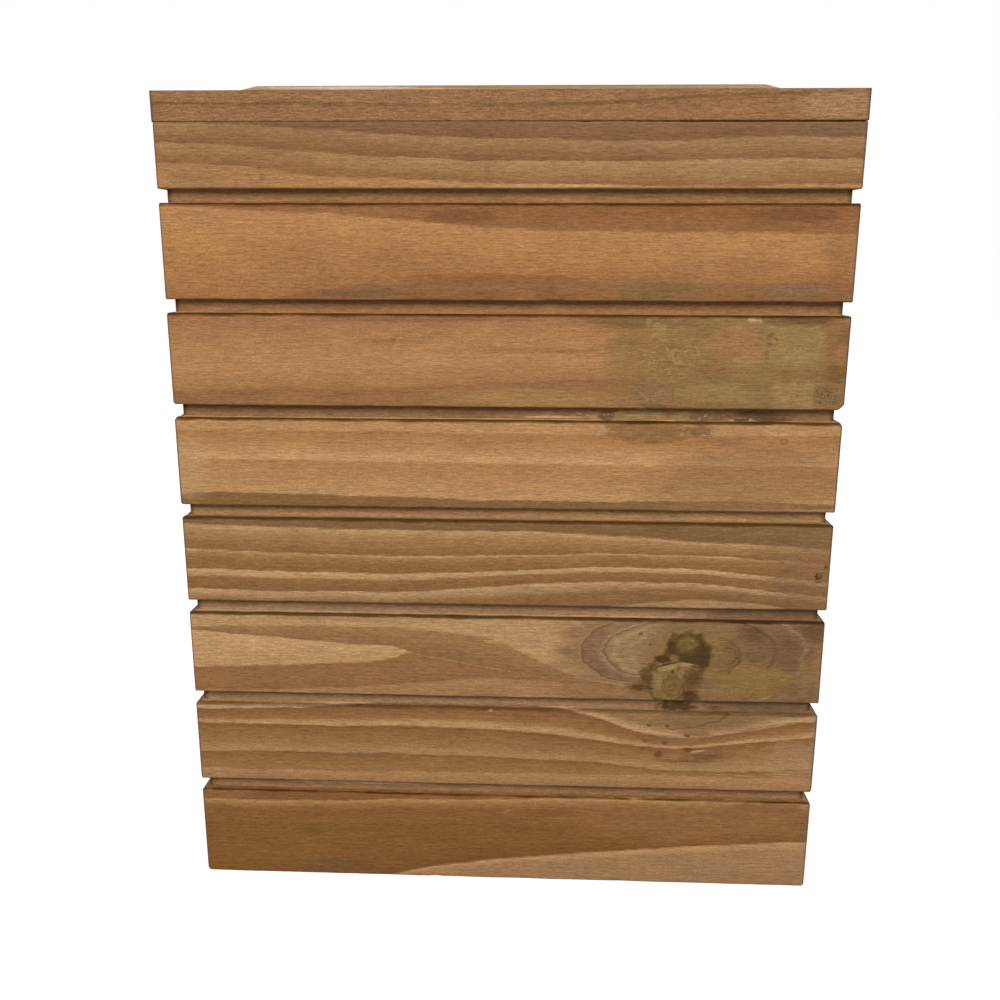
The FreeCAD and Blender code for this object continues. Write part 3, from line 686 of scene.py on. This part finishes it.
FRONT_FIGURES[2] = {
    "channel": "946f4b",
    "lines": [
        [(-200, 119.4), (-160, 120.6), (-120, 122.6), (-104, 124), (-80, 126), (0, 126.5), (36, 124.5),
         (50, 121.5), (60, 119), (70, 115.5), (80, 112), (90, 108.6), (105, 106.6), (120, 106.2),
         (140, 108.5), (160, 113), (180, 117), (200, 119.5)],
        [(-200, 110), (-140, 109.4), (-100, 109.6), (-60, 110), (-20, 109.6), (20, 107.6), (40, 105.4),
         (60, 103.2), (75, 101.2), (90, 99.6), (110, 98.6), (130, 100), (160, 104), (200, 108.6)],
        [(-200, 89), (-160, 90), (-80, 90.4), (-40, 90), (0, 89.4), (40, 88), (80, 85.6), (110, 83.2),
         (140, 82.6), (180, 84), (200, 86)],
        [(-200, 77.5), (-120, 77.2), (0, 78.2), (100, 78.8), (200, 79)],
    ],
    "tones": [
        (("997650", 0.0), ("977249", 0.8), ("b99166", 0.95), ("bd956b", 1.0)),
        (("835a36", 0.0), ("8e643c", 0.45), ("976c42", 0.66), ("b58b60", 0.84), ("b98f64", 1.0)),
        (("835933", 0.0), ("8f663d", 0.2), ("976e45", 0.6), ("a57d53", 0.84), ("aa8157", 1.0)),
        (("875e37", 0.0), ("926940", 0.4), ("996e44", 1.0)),
        (("ab8057", 0.0), ("996f46", 0.4), ("916840", 1.0)),
    ],
    "marks": [
        # Above the dip the year's wood is browner past a fine dark line
        stain(132, 118, 44, 9, "85643f", 0.8, soft=0.5, ragged=0.2, size=(14, 4, 3)),
        stain(124, 109.4, 16, 3.0, "866340", 0.85, soft=0.5, size=(10, 4, 2)),
        ring(
            108, 131, 43, 20, ragged=0.06, size=(14, 6, 5), fade=(100, 112),
            stops=[
                (0.0, "66482a", 0.0), (0.87, "66482a", 0.0), (0.935, "66482a", 0.75), (1.0, "a58460", 0.0),
            ],
        ),
        stain(165, 113.6, 30, 0.8, "b68f69", 0.6, tilt=-11.0),
        stain(112, 103.4, 22, 3.6, "8c6843", 0.7, size=(9, 4, 1.6)),
        stain(100, 94, 3.6, 3.2, "5f4426", 0.8, tilt=38.0, ragged=0.5, size=(3, 4, 1.6)),
        stain(118, 89.6, 24, 1.4, "6f5030", 0.6, size=(8, 4, 1.2)),
        stain(130, 93.4, 18, 4.0, "6b4b2c", 0.75, soft=0.6, ragged=0.5, size=(9, 4, 1.6)),
        stain(119, 97.6, 4, 2, "553a20", 0.75, ragged=0.5, size=(3, 4, 1.4)),
        stain(112, 93, 6, 1.6, "99744e", 0.6),
        stain(126, 96.8, 7.5, 0.8, "bd946c", 0.9, tilt=-10.0),
        speck(93.4, 114, 1.9, 1.5, "5f4426", 0.85, ragged=0.45),
        speck(105.4, 114, 2.1, 1.5, "5f4426", 0.85, ragged=0.45),
        speck(118, 107.4, 2.6, 1.3, "5f4426", 0.85, ragged=0.45, tilt=25.0),
        speck(104, 102, 2.6, 1.4, "5f4426", 0.8, ragged=0.45),
        stain(91, 103.6, 2.4, 1.0, "69492a", 0.7, ragged=0.45, size=(2, 4, 1.4), tilt=30.0),
        stain(90, 98, 2.4, 1.0, "69492a", 0.7, ragged=0.45, size=(2, 4, 1.4)),
        stain(168, 94, 34, 9, "a17b54", 0.6, crumbs=((14, 2, 1), 0.54)),
        stain(170, 78, 40, 12, "b48b64", 0.6, crumbs=((14, 2, 1.2), 0.56)),
        stain(188, 92, 24, 17, "aa845d", 0.6, size=(14, 4, 3)),
        stain(200, 95, 5, 32, "8f7a5c", 0.5),
        stain(-8, 122.4, 2.0, 1.1, "cda67e", 0.9, soft=0.4),
        stain(165, 126, 56, 9, "72553a", 0.85, depth=4.5, size=(20, 3, 3)),
        stain(110.6, 126, 15, 5.4, "4a3016", 0.95, depth=4.5, ragged=0.5, size=(5, 4, 2)),
        stain(136, 124.6, 6, 2.4, "5c4026", 0.7, depth=4.5),
        stain(170, 126.4, 5, 2.6, "6a4d32", 0.7, depth=4.5),
    ],
}
FRONT_FIGURES[1] = {
    "channel": "946d46",
    "lines": [
        [(-200, 54.6), (-160, 54.2), (-120, 55), (-80, 56.6), (-40, 58), (0, 59.2), (40, 60.6), (80, 61.8),
         (140, 61.4), (200, 61)],
        [(-200, 38.6), (-140, 38), (-80, 39.6), (-20, 41), (60, 40), (200, 38)],
        [(-200, -14), (-120, -8), (-90, -3), (-72, 1), (-60, 4.6), (-40, 9), (-20, 12.4), (0, 15.4),
         (40, 19.6), (80, 24), (120, 28), (160, 31), (200, 33.4)],
    ],
    "tones": [
        ("734c28", "845a32"),
        (("b18457", 0.0), ("976a40", 0.22), ("875b32", 0.45), ("895d34", 1.0)),
        ("81572e", "84592f", "7c512a"),
        (("bb9064", 0.0), ("a37c54", 0.12), ("9c7753", 1.0)),
    ],
    "marks": [
        stain(-112, 5.5, 30, 6, "6a5134", 0.55, size=(12, 4, 4)),
        stain(130, 45, 100, 18, "946942", 0.6, size=(24, 4, 8)),
        stain(174, 58, 30, 5, "875e3b", 0.8),
        stain(-178, 58.5, 26, 4, "8c633c", 0.75),
        stain(-130, 24, 74, 20, "8f653b", 0.35, crumbs=((7, 2, 1.6), 0.5)),
        ring(
            30, 49.5, 32, 4, ragged=0.06,
            stops=[(0.0, "84592f", 0.5), (0.8, "84592f", 0.6), (0.9, "9c7046", 0.8), (1.0, "8a5e35", 0.0)],
        ),
        stain(-90, 66.4, 56, 1.2, "c8a070", 0.8, depth=4.5),
    ],
}

# Tones of a year, from the wood of spring to that of late summer, for boards out of the photograph's sight
YEAR_TONES = (
    ("b48759", "9d744a", "8a6038"),
    ("b08050", "a3734a", "8b5f38"),
    ("a97d52", "966a41", "7d532d"),
    ("b8905f", "a57b50", "916742"),
)
# The same for battens and floor, which had less treatment and less weather
PALE_TONES = (
    ("c6a273", "b98f60", "a87a4c"),
    ("c0996c", "b08658", "9c7247"),
)


# A knot goes right through its board
THROUGH = 40.0


def sawn_figure(seed, low, high, half_length, palette=YEAR_TONES):
    """Growth lines of a board that is out of sight in the photograph, in the manner of those in sight."""
    draw = random.Random(seed)
    slope = draw.uniform(-7, 7)
    bow = draw.uniform(-6, 6)
    turn = draw.uniform(0, 6)
    tones = draw.choice(palette)
    rising = draw.random() < 0.5
    wide_apart = max(1.0, (high - low) / 60)
    places = [half_length * step / 4 for step in range(-4, 5)]
    knotted = draw.random() < 0.45 and high - low > 40
    knot_x = draw.uniform(-0.7, 0.7) * half_length
    knot_z = draw.uniform(low + 14, high - 14)
    size = draw.uniform(6, 10)
    if knotted:
        places = [x for x in places if abs(x - knot_x) > 6 * size or abs(x) == half_length]
        beside = [knot_x + size * share for share in (-4.5, -2.8, -1.6, -0.7, 0.7, 1.6, 2.8, 4.5)]
        places += [x for x in beside if abs(x) < half_length - 2]
        places.sort()
    lines = []
    height = high + draw.uniform(-4, 8)
    while height > low - 6:
        # The years bend round a knot, the nearer the more
        away = height + slope * knot_x / half_length - knot_z
        push = knotted * math.copysign(1.3 * size, away) * math.exp(-abs(away) / (2.6 * size))
        line = []
        for x in places:
            part = x / half_length
            wave = 1.3 * math.sin(2.6 * part + turn + 0.2 * len(lines))
            swerve = push * math.exp(-((x - knot_x) / (2.2 * size)) ** 2)
            line.append((x, height + slope * part + bow * part * part + wave + swerve))
        lines.append(line)
        height -= draw.uniform(7, 16) * wide_apart
    years = []
    for _ in range(len(lines) + 1):
        late = draw.uniform(0.5, 0.85)
        year = [(tones[0], 0.0), (tones[1], 1 - late), (tones[2], 1.0)]
        if rising:
            year = [(tone, 1 - part) for tone, part in reversed(year)]
        years.append(tuple(year))
    marks = []
    if knotted:
        lean = draw.uniform(-20, 20)
        marks = [
            stain(
                knot_x, knot_z, size * 3.4, size * 1.5, tones[2], 0.7,
                soft=0.7, thick=THROUGH, ragged=0.2,
            ),
            ring(
                knot_x, knot_z, size * 1.25, size * 0.95,
                thick=THROUGH, tilt=lean, ragged=0.22, size=(6, 6, 5),
                stops=[
                    (0.0, "5a4020", 0.95), (0.12, "80603a", 0.95), (0.3, "6d4e2b", 0.95),
                    (0.42, "84643c", 0.95), (0.62, "6c4c2a", 0.95), (0.74, "4a3118", 0.95),
                    (0.86, "5c3f20", 0.8), (1.0, "7a552f", 0.0),
                ],
            ),
            stain(
                knot_x - size * 0.2, knot_z + size * 0.15, size * 0.28, size * 0.2, "38240f", 0.85,
                tilt=lean, thick=THROUGH, ragged=0.5, size=(2, 4, 2),
            ),
        ]
    return {"lines": lines, "tones": years, "marks": marks}


# From the front edge of the first panel board to the upper edge of its bevel
ARRIS_INSET = 28.5

# Front edge of the lid, which the saw cut closer to the heart and so came out redder
LID_EDGE_FIGURE = {
    "lines": [
        [(-200, 487.6), (-140, 487.8), (-80, 487.2), (-50, 486.9), (0, 486.9), (40, 487.2), (70, 488.4),
         (95, 490.2), (140, 492), (200, 493.4)],
        [(-200, 474), (-100, 475), (0, 476), (100, 477), (200, 478)],
    ],
    "tones": [
        (("976c41", 0.0), ("986e49", 0.94), ("7b5735", 0.98), ("7b5735", 1.0)),
        ("926742", "986d48", "966a40"),
        ("8e6440", "8a603c"),
    ],
    "marks": [
        stain(184, 487, 30, 9, "a8835b", 0.75),
        stain(-60, 484, 120, 6, "996c48", 0.5, size=(24, 4, 3)),
        stain(110, 494.6, 60, 1.6, "8f7448", 0.6),
        stain(-150, 495, 40, 1.4, "8f7448", 0.5),
    ],
}


def give(name, finish):
    """Puts a finish on a CAD node that is shown as it is."""
    slots = nodes[name].data.materials
    slots.clear()
    slots.append(finish)


def whole_faces(name, weld):
    """CAD node's mesh with its points joined and its flat faces in one piece each, to be worked on."""
    shape = bmesh.new()
    shape.from_mesh(nodes[name].data)
    bmesh.ops.remove_doubles(shape, verts=shape.verts, dist=weld / MM)
    bmesh.ops.dissolve_limit(shape, angle_limit=math.radians(1.0), verts=shape.verts, edges=shape.edges)
    return shape


def as_mesh(shape, name):
    """Mesh of a shape that has been worked on, which is then let go."""
    mesh = bpy.data.meshes.new(name)
    shape.to_mesh(mesh)
    shape.free()
    return mesh


def stand_in(name, mesh, finish, body, slot, *replaced):
    """Shows a finer mesh in place of CAD nodes, on their body."""
    mesh.materials.clear()
    mesh.materials.append(finish)
    for face in mesh.polygons:
        face.use_smooth = True
    mesh.set_sharp_from_angle(angle=math.radians(35))
    piece = bpy.data.objects.new(name, mesh)
    bpy.context.scene.collection.objects.link(piece)
    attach(piece, body)
    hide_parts(*replaced)
    return piece


# Corners at the front that knocks have rounded: the course, how far across and up a point of the knocked
# face is, and the way this face looks
KNOCKED_CORNERS = (
    (6, 198.0, 320.2, (0.65, -0.35, -0.72)),
    (6, -198.9, 319.0, (-0.7, -0.35, -0.7)),
    (6, 199.0, 372.4, (0.65, -0.35, 0.7)),
    (5, -198.3, 309.6, (-0.6, -0.35, 0.75)),
    (5, 198.6, 309.4, (0.6, -0.35, 0.75)),
    (5, -198.8, 256.6, (-0.7, -0.35, -0.7)),
    (2, 199.0, 69.8, (0.7, -0.35, -0.7)),
    (1, -198.6, 1.2, (-0.7, -0.35, -0.7)),
    (1, 199.0, 0.9, (0.7, -0.35, -0.7)),
)

# Width of the rubbed band along an edge, and how far from the edge the rubbing reaches
RUBBED_BAND = 1.2
RUB_REACH = 2.0
# The lid sits down on the edge under it at the left, and the seam opens to the right
LID_SEAM = FACES[8][1]
SEAM_OPENS_FROM = -30.0
SEAM_OPENS_OVER = 170.0
SEAM_RISE = 0.36
SEAM_RISE_LOST = 0.26
SEAM_SHARPNESS = 0.65


def worn_board(wall, course):
    """Finer copy of a wall board, its edges rubbed and nicked as those of planed softwood soon are."""
    along, inward, origin, half_length = WALLS[wall]
    along, inward, origin = Vector(along), Vector(inward), Vector(origin)
    low, high = FACES[course]
    knocks = [(Vector((across, FRONT_FACE, up)), Vector(looks).normalized())
              for knocked, across, up, looks in KNOCKED_CORNERS if knocked == course]
    shape = whole_faces(f"{wall}_board_{course}", weld=0.2)
    upwards = Vector((0, 0, 1))
    spacing = 5.0 if wall == "front" else 20.0
    cuts = [(origin + along * (spacing * step - half_length), along)
            for step in range(1, int(2 * half_length / spacing))]
    cuts += [(origin + along * side * (half_length - inset), along)
             for side in (-1, 1) for inset in (1.8, 3.5, 7.5, 12.5)]
    cuts += [(upwards * edge, upwards) for edge in (low + RUBBED_BAND, high - RUBBED_BAND)]
    cuts.append((origin + inward * RUBBED_BAND, inward))
    if wall != "back" and knocks:
        cuts += [(upwards * (edge + way * step), upwards)
                 for edge, way in ((low, 1), (high, -1)) for step in (2.2, 3.6, 5.4, 8.0)]
    for point, looks in cuts:
        everything = shape.verts[:] + shape.edges[:] + shape.faces[:]
        bmesh.ops.bisect_plane(shape, geom=everything, plane_co=point / MM, plane_no=looks)
    for vert in shape.verts:
        spot = vert.co * MM
        from_foot = spot - origin
        run, depth = from_foot.dot(along), from_foot.dot(inward)
        for edge, middle_side in ((low, 1), (high, -1)):
            near = 1.0 - math.hypot(depth, spot.z - edge) / RUB_REACH
            if near > 0:
                rub = (0.5 if edge == high else 0.25) + 0.3 * noise.noise(Vector((run / 23, edge, 0)))
                if edge == LID_SEAM:
                    # The lid covers this edge and keeps it sharper, most of all towards the left
                    rub *= 0.35 + 0.5 * run / half_length
                nick = max(0.0, noise.noise(Vector((run / 6, edge, 5))) - 0.42) * 2.2
                spot += (inward + upwards * middle_side) * near * (max(rub, 0.0) + nick) * 0.7
        if wall == "front" and high == LID_SEAM and high - spot.z < 1.05 and depth < 1.3:
            opened = min(1.0, max(0.0, (run - SEAM_OPENS_FROM) / SEAM_OPENS_OVER))
            drop = (high - spot.z) * (1.0 - SEAM_SHARPNESS * (1.0 - opened))
            spot.z = high - drop + SEAM_RISE - SEAM_RISE_LOST * opened
            spot -= inward * depth * SEAM_SHARPNESS * (1.0 - opened)
        for point, looks in knocks:
            over = (spot - point).dot(looks)
            if 0 < over < 8 and (spot - point).length < 16:
                spot -= looks * over
        vert.co = spot / MM
    return as_mesh(shape, f"{wall}_board_{course}_worn")


# How far the dirt and painted shade on each course's upper edge spread, and how dark they are
LEDGE_DIRT_AND_SHADE = {
    1: (1.1, 0.27),
    2: (1.9, 0.5),
    3: (1.9, 0.18),
    4: (1.9, 0.32),
    5: (1.9, 0.17),
    6: (1.9, 0.22),
    7: (1.9, 0.24),
    8: (0.4, 0.95),
}
# The same for the painted shade along the lower edge of the two lowest courses, and of the rest
LOWEST_FEET_SHADE = {1: (0.9, 0.5), 2: (0.9, 0.45)}
FOOT_SHADE = (0.5, 0.85)
CHANNEL_TONE = "97714b"
# Each piece of timber draws its grain from a seed of its own
SEED_STEP = 7.0
seed = 0.0
for wall, (along, inward, origin, half_length) in WALLS.items():
    for course, (low, high) in FACES.items():
        seed += SEED_STEP
        if wall == "front":
            figure = FRONT_FIGURES[course]
        else:
            figure = sawn_figure(int(seed), low, high, half_length)
        # Painted shade along each board's lower edge, dirt and painted shade along its upper edge
        edges = ((low, *LOWEST_FEET_SHADE.get(course, FOOT_SHADE)), (high, *LEDGE_DIRT_AND_SHADE[course]))
        finish = pine(f"planed_pine_{wall}_{course}", (along, inward, origin), low, high, half_length,
                      figure, seed, channel=figure.get("channel", CHANNEL_TONE), dirty_and_shaded_edges=edges)
        stand_in(f"{wall}_board_{course}_worn", worn_board(wall, course), finish, "box", "wall_timber",
                 f"{wall}_board_{course}")

# Lid: planed rails, their grain along them, and a panel of three boards whose grain runs from side to side
RAIL_DIRT = ((RAIL_FOOT, 0.5, 0.93), (RAIL_TOP, 0.6, 0.6))
for side, (along, inward, origin, half_length) in WALLS.items():
    seed += SEED_STEP
    if side == "front":
        figure = LID_EDGE_FIGURE
    else:
        figure = sawn_figure(int(seed), RAIL_FOOT, RAIL_TOP, half_length)
    finish = pine(f"planed_pine_lid_{side}", (along, inward, origin), RAIL_FOOT, RAIL_TOP, half_length,
                  figure, seed, dirty_and_shaded_edges=RAIL_DIRT, fuzz=1.5)
    give(f"lid_{side}_rail", finish)
panel_place = ((1, 0, 0), (0, 0, -1), (0, 0, LID_TOP))
for number in (1, 2, 3):
    seed += SEED_STEP
    low, high = (corner.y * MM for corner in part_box(f"lid_panel_board_{number}"))
    figure = sawn_figure(int(seed), low, high, HALF_WIDTH, PALE_TONES)
    if number == 1:
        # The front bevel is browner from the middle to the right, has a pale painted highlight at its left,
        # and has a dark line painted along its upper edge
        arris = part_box("lid_panel_board_1")[0].y * MM + ARRIS_INSET
        figure["marks"] += [
            stain(60, arris - 4, 130, 5.5, "8f6c48", 0.7, ragged=0.2, thick=12.0),
            stain(-98, arris - 3.6, 56, 4.4, "bdb3a6", 0.8, ragged=0.2, thick=12.0),
            stain(0, arris, 200, 2.6, "655544", 0.7, soft=0.6, ragged=0.2, thick=12.0),
        ]
    finish = pine(f"planed_pine_lid_panel_{number}", panel_place, low, high, HALF_WIDTH, figure, seed)
    give(f"lid_panel_board_{number}", finish)

# Battens and floor, left from the saw: the node, its finish's name, the grain's place, both edges across
# the grain and half the length along it
sawn = []
for name in ("front_left_post", "front_right_post", "back_left_post", "back_right_post"):
    near, far = (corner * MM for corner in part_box(name))
    place_of = ((0, 0, 1), (1, 0, 0), tuple((near + far) / 2))
    sawn.append((name, name, place_of, -POST_HALF_WIDTH, POST_HALF_WIDTH, POST_HALF_LENGTH))
for name in ("front_floor_bearer", "back_floor_bearer"):
    near, far = (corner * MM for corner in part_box(name))
    place_of = ((1, 0, 0), (0, 1, 0), (0, near.y, 0))
    sawn.append((name, name, place_of, near.z, far.z, HALF_WIDTH))
for number in (1, 2, 3, 4):
    near, far = (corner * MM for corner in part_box(f"floor_board_{number}"))
    place_of = ((0, 1, 0), (0, 0, -1), (0, MIDDLE_Y, FLOOR_TOP))
    sawn.append((f"floor_board_{number}", f"floor_{number}", place_of, -far.x, -near.x, HALF_DEPTH))
for node, title, place_of, low, high, half_length in sawn:
    seed += SEED_STEP
    figure = sawn_figure(int(seed), low, high, half_length, PALE_TONES)
    give(node, pine(f"sawn_pine_{title}", place_of, low, high, half_length, figure, seed, planed=False))


def plated_steel(name, tones, spangle, roughness):
    """Pressed steel with a thin coat of zinc.

    The eye gets a soft grey or straw shine with cloudy patches a few millimetres across, and fine
    scratches.
    """
    finish, tree = new_finish(name)
    coordinates = add(tree, "TexCoord")
    place = add(tree, "Mapping", {"Vector": coordinates.outputs["Object"], "Scale": (MM, MM, MM)})
    cloud = fibre_noise(tree, place, (spangle, spangle, spangle), 3.0, detail=3.0)
    scratch = fibre_noise(tree, place, (9.0, 0.25, 0.25), 5.0)
    colour = add(tree, "ValToRGB", (cloud,), stops=[
        (0.3 + 0.2 * order, linear(tone)) for order, tone in enumerate(tones)
    ])
    relief = add(tree, "Bump", {"Height": scratch, "Strength": 0.15, "Distance": 0.0001})
    shader = add(tree, "BsdfPrincipled", {
        "Base Color": colour,
        "Metallic": 1.0,
        "Roughness": add(tree, "MapRange", (cloud, 0.3, 0.7, roughness - 0.06, roughness + 0.08)),
        "Normal": relief,
    })
    add(tree, "OutputMaterial", {"Surface": shader})
    return finish


hinge_zinc = plated_steel("zinc_plated_hinge_steel", ("a9acae", "b9bbbc", "c6c7c6"), 4.0, 0.36)
screw_zinc = plated_steel("yellow_zinc_screw_steel", ("b08d48", "c4a25c", "cbb184"), 1.6, 0.34)


def eased_metal(name):
    """Copy of a hinge part with the burr taken off its sharp edges."""
    shape = whole_faces(name, weld=0.02)
    sharp = [edge for edge in shape.edges
             if len(edge.link_faces) == 2 and edge.calc_face_angle() > math.radians(50)]
    bmesh.ops.bevel(shape, geom=sharp, offset=0.18 / MM, segments=2, profile=0.5, affect="EDGES",
                    clamp_overlap=True)
    return as_mesh(shape, f"{name}_eased")


for side in ("left", "right"):
    for part, body in (("box_leaf", "box"), ("lid_leaf", "lid")):
        name = f"hinge_{side}_{part}"
        stand_in(f"{name}_eased", eased_metal(name), hinge_zinc, body, "hinge_steel", name)
    give(f"hinge_{side}_pin", hinge_zinc)


def screw_template(head, shank, cone, length):
    """Countersunk screw with a cross recess, in millimetres.

    Its head's top is at the origin and its point is along +Z. Head and shank are given by their radius.
    """
    shape = bmesh.new()
    turns = 20
    angles = [math.tau * n / turns for n in range(turns)]
    rings = []
    profile = ((head - 0.15, 0.0), (head, 0.2), (shank, cone), (shank, length - 2 * shank), (0.2, length))
    for radius, height in profile:
        rings.append([
            shape.verts.new((radius * math.cos(angle), radius * math.sin(angle), height))
            for angle in angles
        ])
    for upper, lower in zip(rings, rings[1:]):
        for n in range(turns):
            shape.faces.new((upper[n], lower[n], lower[n - 1], upper[n - 1]))
    shape.faces.new(rings[-1])
    arm, half = 0.58 * head, 0.15 * head
    corner = ((half, arm), (half, half), (arm, half))
    outline = []
    for quarter in range(4):
        spin = Matrix.Rotation(-quarter * math.pi / 2, 2)
        outline += [spin @ Vector(point) for point in corner]
    brim = [shape.verts.new((x, y, 0.0)) for x, y in outline]
    sunk = [shape.verts.new((x * 0.7, y * 0.7, 0.5 * head)) for x, y in outline]
    for n in range(len(outline)):
        shape.faces.new((brim[n], brim[n - 1], sunk[n - 1], sunk[n]))
    shape.faces.new(sunk)
    rim = [shape.edges.get((rings[0][n], rings[0][n - 1])) for n in range(turns)]
    lip = [shape.edges.get((brim[n], brim[n - 1])) for n in range(len(outline))]
    bmesh.ops.triangle_fill(shape, edges=rim + lip, use_beauty=True, use_dissolve=False)
    bmesh.ops.recalc_face_normals(shape, faces=shape.faces)
    return as_mesh(shape, "screw_template")


def screws(node, head, shank, cone, length):
    """All screws of a CAD node: each loose part gives the place and the way of one screw."""
    source = bmesh.new()
    source.from_mesh(nodes[node].data)
    bmesh.ops.remove_doubles(source, verts=source.verts, dist=0.01 / MM)
    template = screw_template(head, shank, cone, length)
    built = bmesh.new()
    waiting = set(source.verts)
    draw = random.Random(len(waiting))
    for first in source.verts:
        if first not in waiting:
            continue
        waiting.discard(first)
        part, edge_of_search = [first], [first]
        while edge_of_search:
            vert = edge_of_search.pop()
            for edge in vert.link_edges:
                other = edge.other_vert(vert)
                if other in waiting:
                    waiting.discard(other)
                    part.append(other)
                    edge_of_search.append(other)
        points = [vert.co * MM for vert in part]
        near = Vector(min(point[axis] for point in points) for axis in range(3))
        far = Vector(max(point[axis] for point in points) for axis in range(3))
        axis = max(range(3), key=lambda number: far[number] - near[number])
        middle = (near + far) / 2
        widest = max(points, key=lambda point: (point - middle).length - abs(point[axis] - middle[axis]))
        at_far_end = widest[axis] > middle[axis]
        top = middle.copy()
        top[axis] = far[axis] if at_far_end else near[axis]
        way = Vector((0, 0, 0))
        way[axis] = -1.0 if at_far_end else 1.0
        spin = Matrix.Rotation(draw.uniform(0, math.pi / 2), 3, "Z")
        turn = way.to_track_quat("Z", "Y").to_matrix() @ spin
        before = len(built.verts)
        built.from_mesh(template)
        built.verts.ensure_lookup_table()
        for vert in built.verts[before:]:
            vert.co = (turn @ vert.co + top) / MM
    source.free()
    bpy.data.meshes.remove(template)
    return as_mesh(built, f"{node}_cross_recessed")


# Radius of head and shank, depth of the countersink and length, in millimetres
for node, body, sizes in (
    ("batten_screws", "box", (3.9, 2.0, 3.0, 40.0)),
    ("floor_screws", "box", (3.5, 1.75, 2.7, 30.0)),
    ("hinge_box_screws", "box", (2.5, 1.3, 1.3, 12.0)),
    ("hinge_lid_screws", "lid", (2.5, 1.3, 1.3, 12.0)),
):
    stand_in(f"{node}_cross_recessed", screws(node, *sizes), screw_zinc, body, "screw_steel", node)


def seen_directly(tree):
    """One where the camera sees a surface straight, in a shine or through glass, and else nought."""
    path = add(tree, "LightPath").outputs
    seen = add(tree, "Math", (path["Is Camera Ray"], path["Is Glossy Ray"]), operation="MAXIMUM")
    return add(tree, "Math", (seen, path["Is Transmission Ray"]), operation="MAXIMUM")


# Matt grey paper underfoot, which the camera sees as white but for the box's shadow
finish, tree = new_finish("matt_paper_floor")
paper = add(tree, "BsdfDiffuse", {"Color": linear("9c9b99"), "Roughness": 0.6})
glow = add(tree, "MapRange", (seen_directly(tree), 0.0, 1.0, 0.0, 0.86))
white = add(tree, "Emission", {"Color": (1.0, 1.0, 1.0, 1.0), "Strength": glow})
add(tree, "OutputMaterial", {"Surface": add(tree, "AddShader", (paper, white))})
reach = 6.0
corners = [(-reach, -reach, 0), (reach, -reach, 0), (reach, reach, 0), (-reach, reach, 0)]
mesh = bpy.data.meshes.new("studio_floor")
mesh.from_pydata(corners, [], [(0, 1, 2, 3)])
mesh.materials.append(finish)
floor = bpy.data.objects.new("studio_floor", mesh)
# A hair below the box's foot, so that the two faces don't fight
floor.location.z = -0.5 / MM
bpy.context.scene.collection.objects.link(floor)

# White behind the box, and a weaker even light from all round
world = bpy.data.worlds.new("studio")
bpy.context.scene.world = world
world.use_nodes = True
tree = world.node_tree
tree.nodes.clear()
sky = add(tree, "Background", {
    "Color": (1.0, 1.0, 1.0, 1.0),
    "Strength": add(tree, "MapRange", (seen_directly(tree), 0.0, 1.0, 0.4, 1.0)),
})
add(tree, "OutputWorld", {"Surface": sky})


def softbox(name, place, aim, size, power):
    """Square studio lamp turned towards a point."""
    lamp = bpy.data.lights.new(name, "AREA")
    lamp.shape = "SQUARE"
    lamp.size = size
    lamp.energy = power
    piece = bpy.data.objects.new(name, lamp)
    piece.location = place
    piece.rotation_euler = (Vector(aim) - Vector(place)).to_track_quat("-Z", "Y").to_euler()
    bpy.context.scene.collection.objects.link(piece)


# Each: where it stands, what it is turned to, its side in metres and its power in watts
softbox("key_softbox", (-1.2, -5.2, 4.9), (0.0, 0.0, 0.25), 3.4, 355.0)
softbox("fill_softbox", (1.2, -3.0, 0.3), (0.0, 0.0, 0.1), 1.2, 14.0)
softbox("back_softbox", (1.4, 4.2, 3.0), (0.0, 0.0, 0.25), 3.0, 80.0)

# Camera at the photograph's place: a step in front of the box, a little below its lid
camera = bpy.data.objects.new("camera", bpy.data.cameras.new("camera"))
camera.data.sensor_width = 36.0
camera.data.lens = 36.03
camera.location = (0.0220, -0.7546, 0.4072)
looks_down, turned, leans = (math.radians(angle) for angle in (13.825, 2.352, 0.16))
facing = Euler((math.pi / 2 - looks_down, 0.0, turned)).to_matrix()
camera.rotation_euler = (facing @ Matrix.Rotation(leans, 3, "Z")).to_euler()
bpy.context.scene.collection.objects.link(camera)
bpy.context.scene.camera = camera
bpy.context.scene.view_settings.view_transform = "Standard"
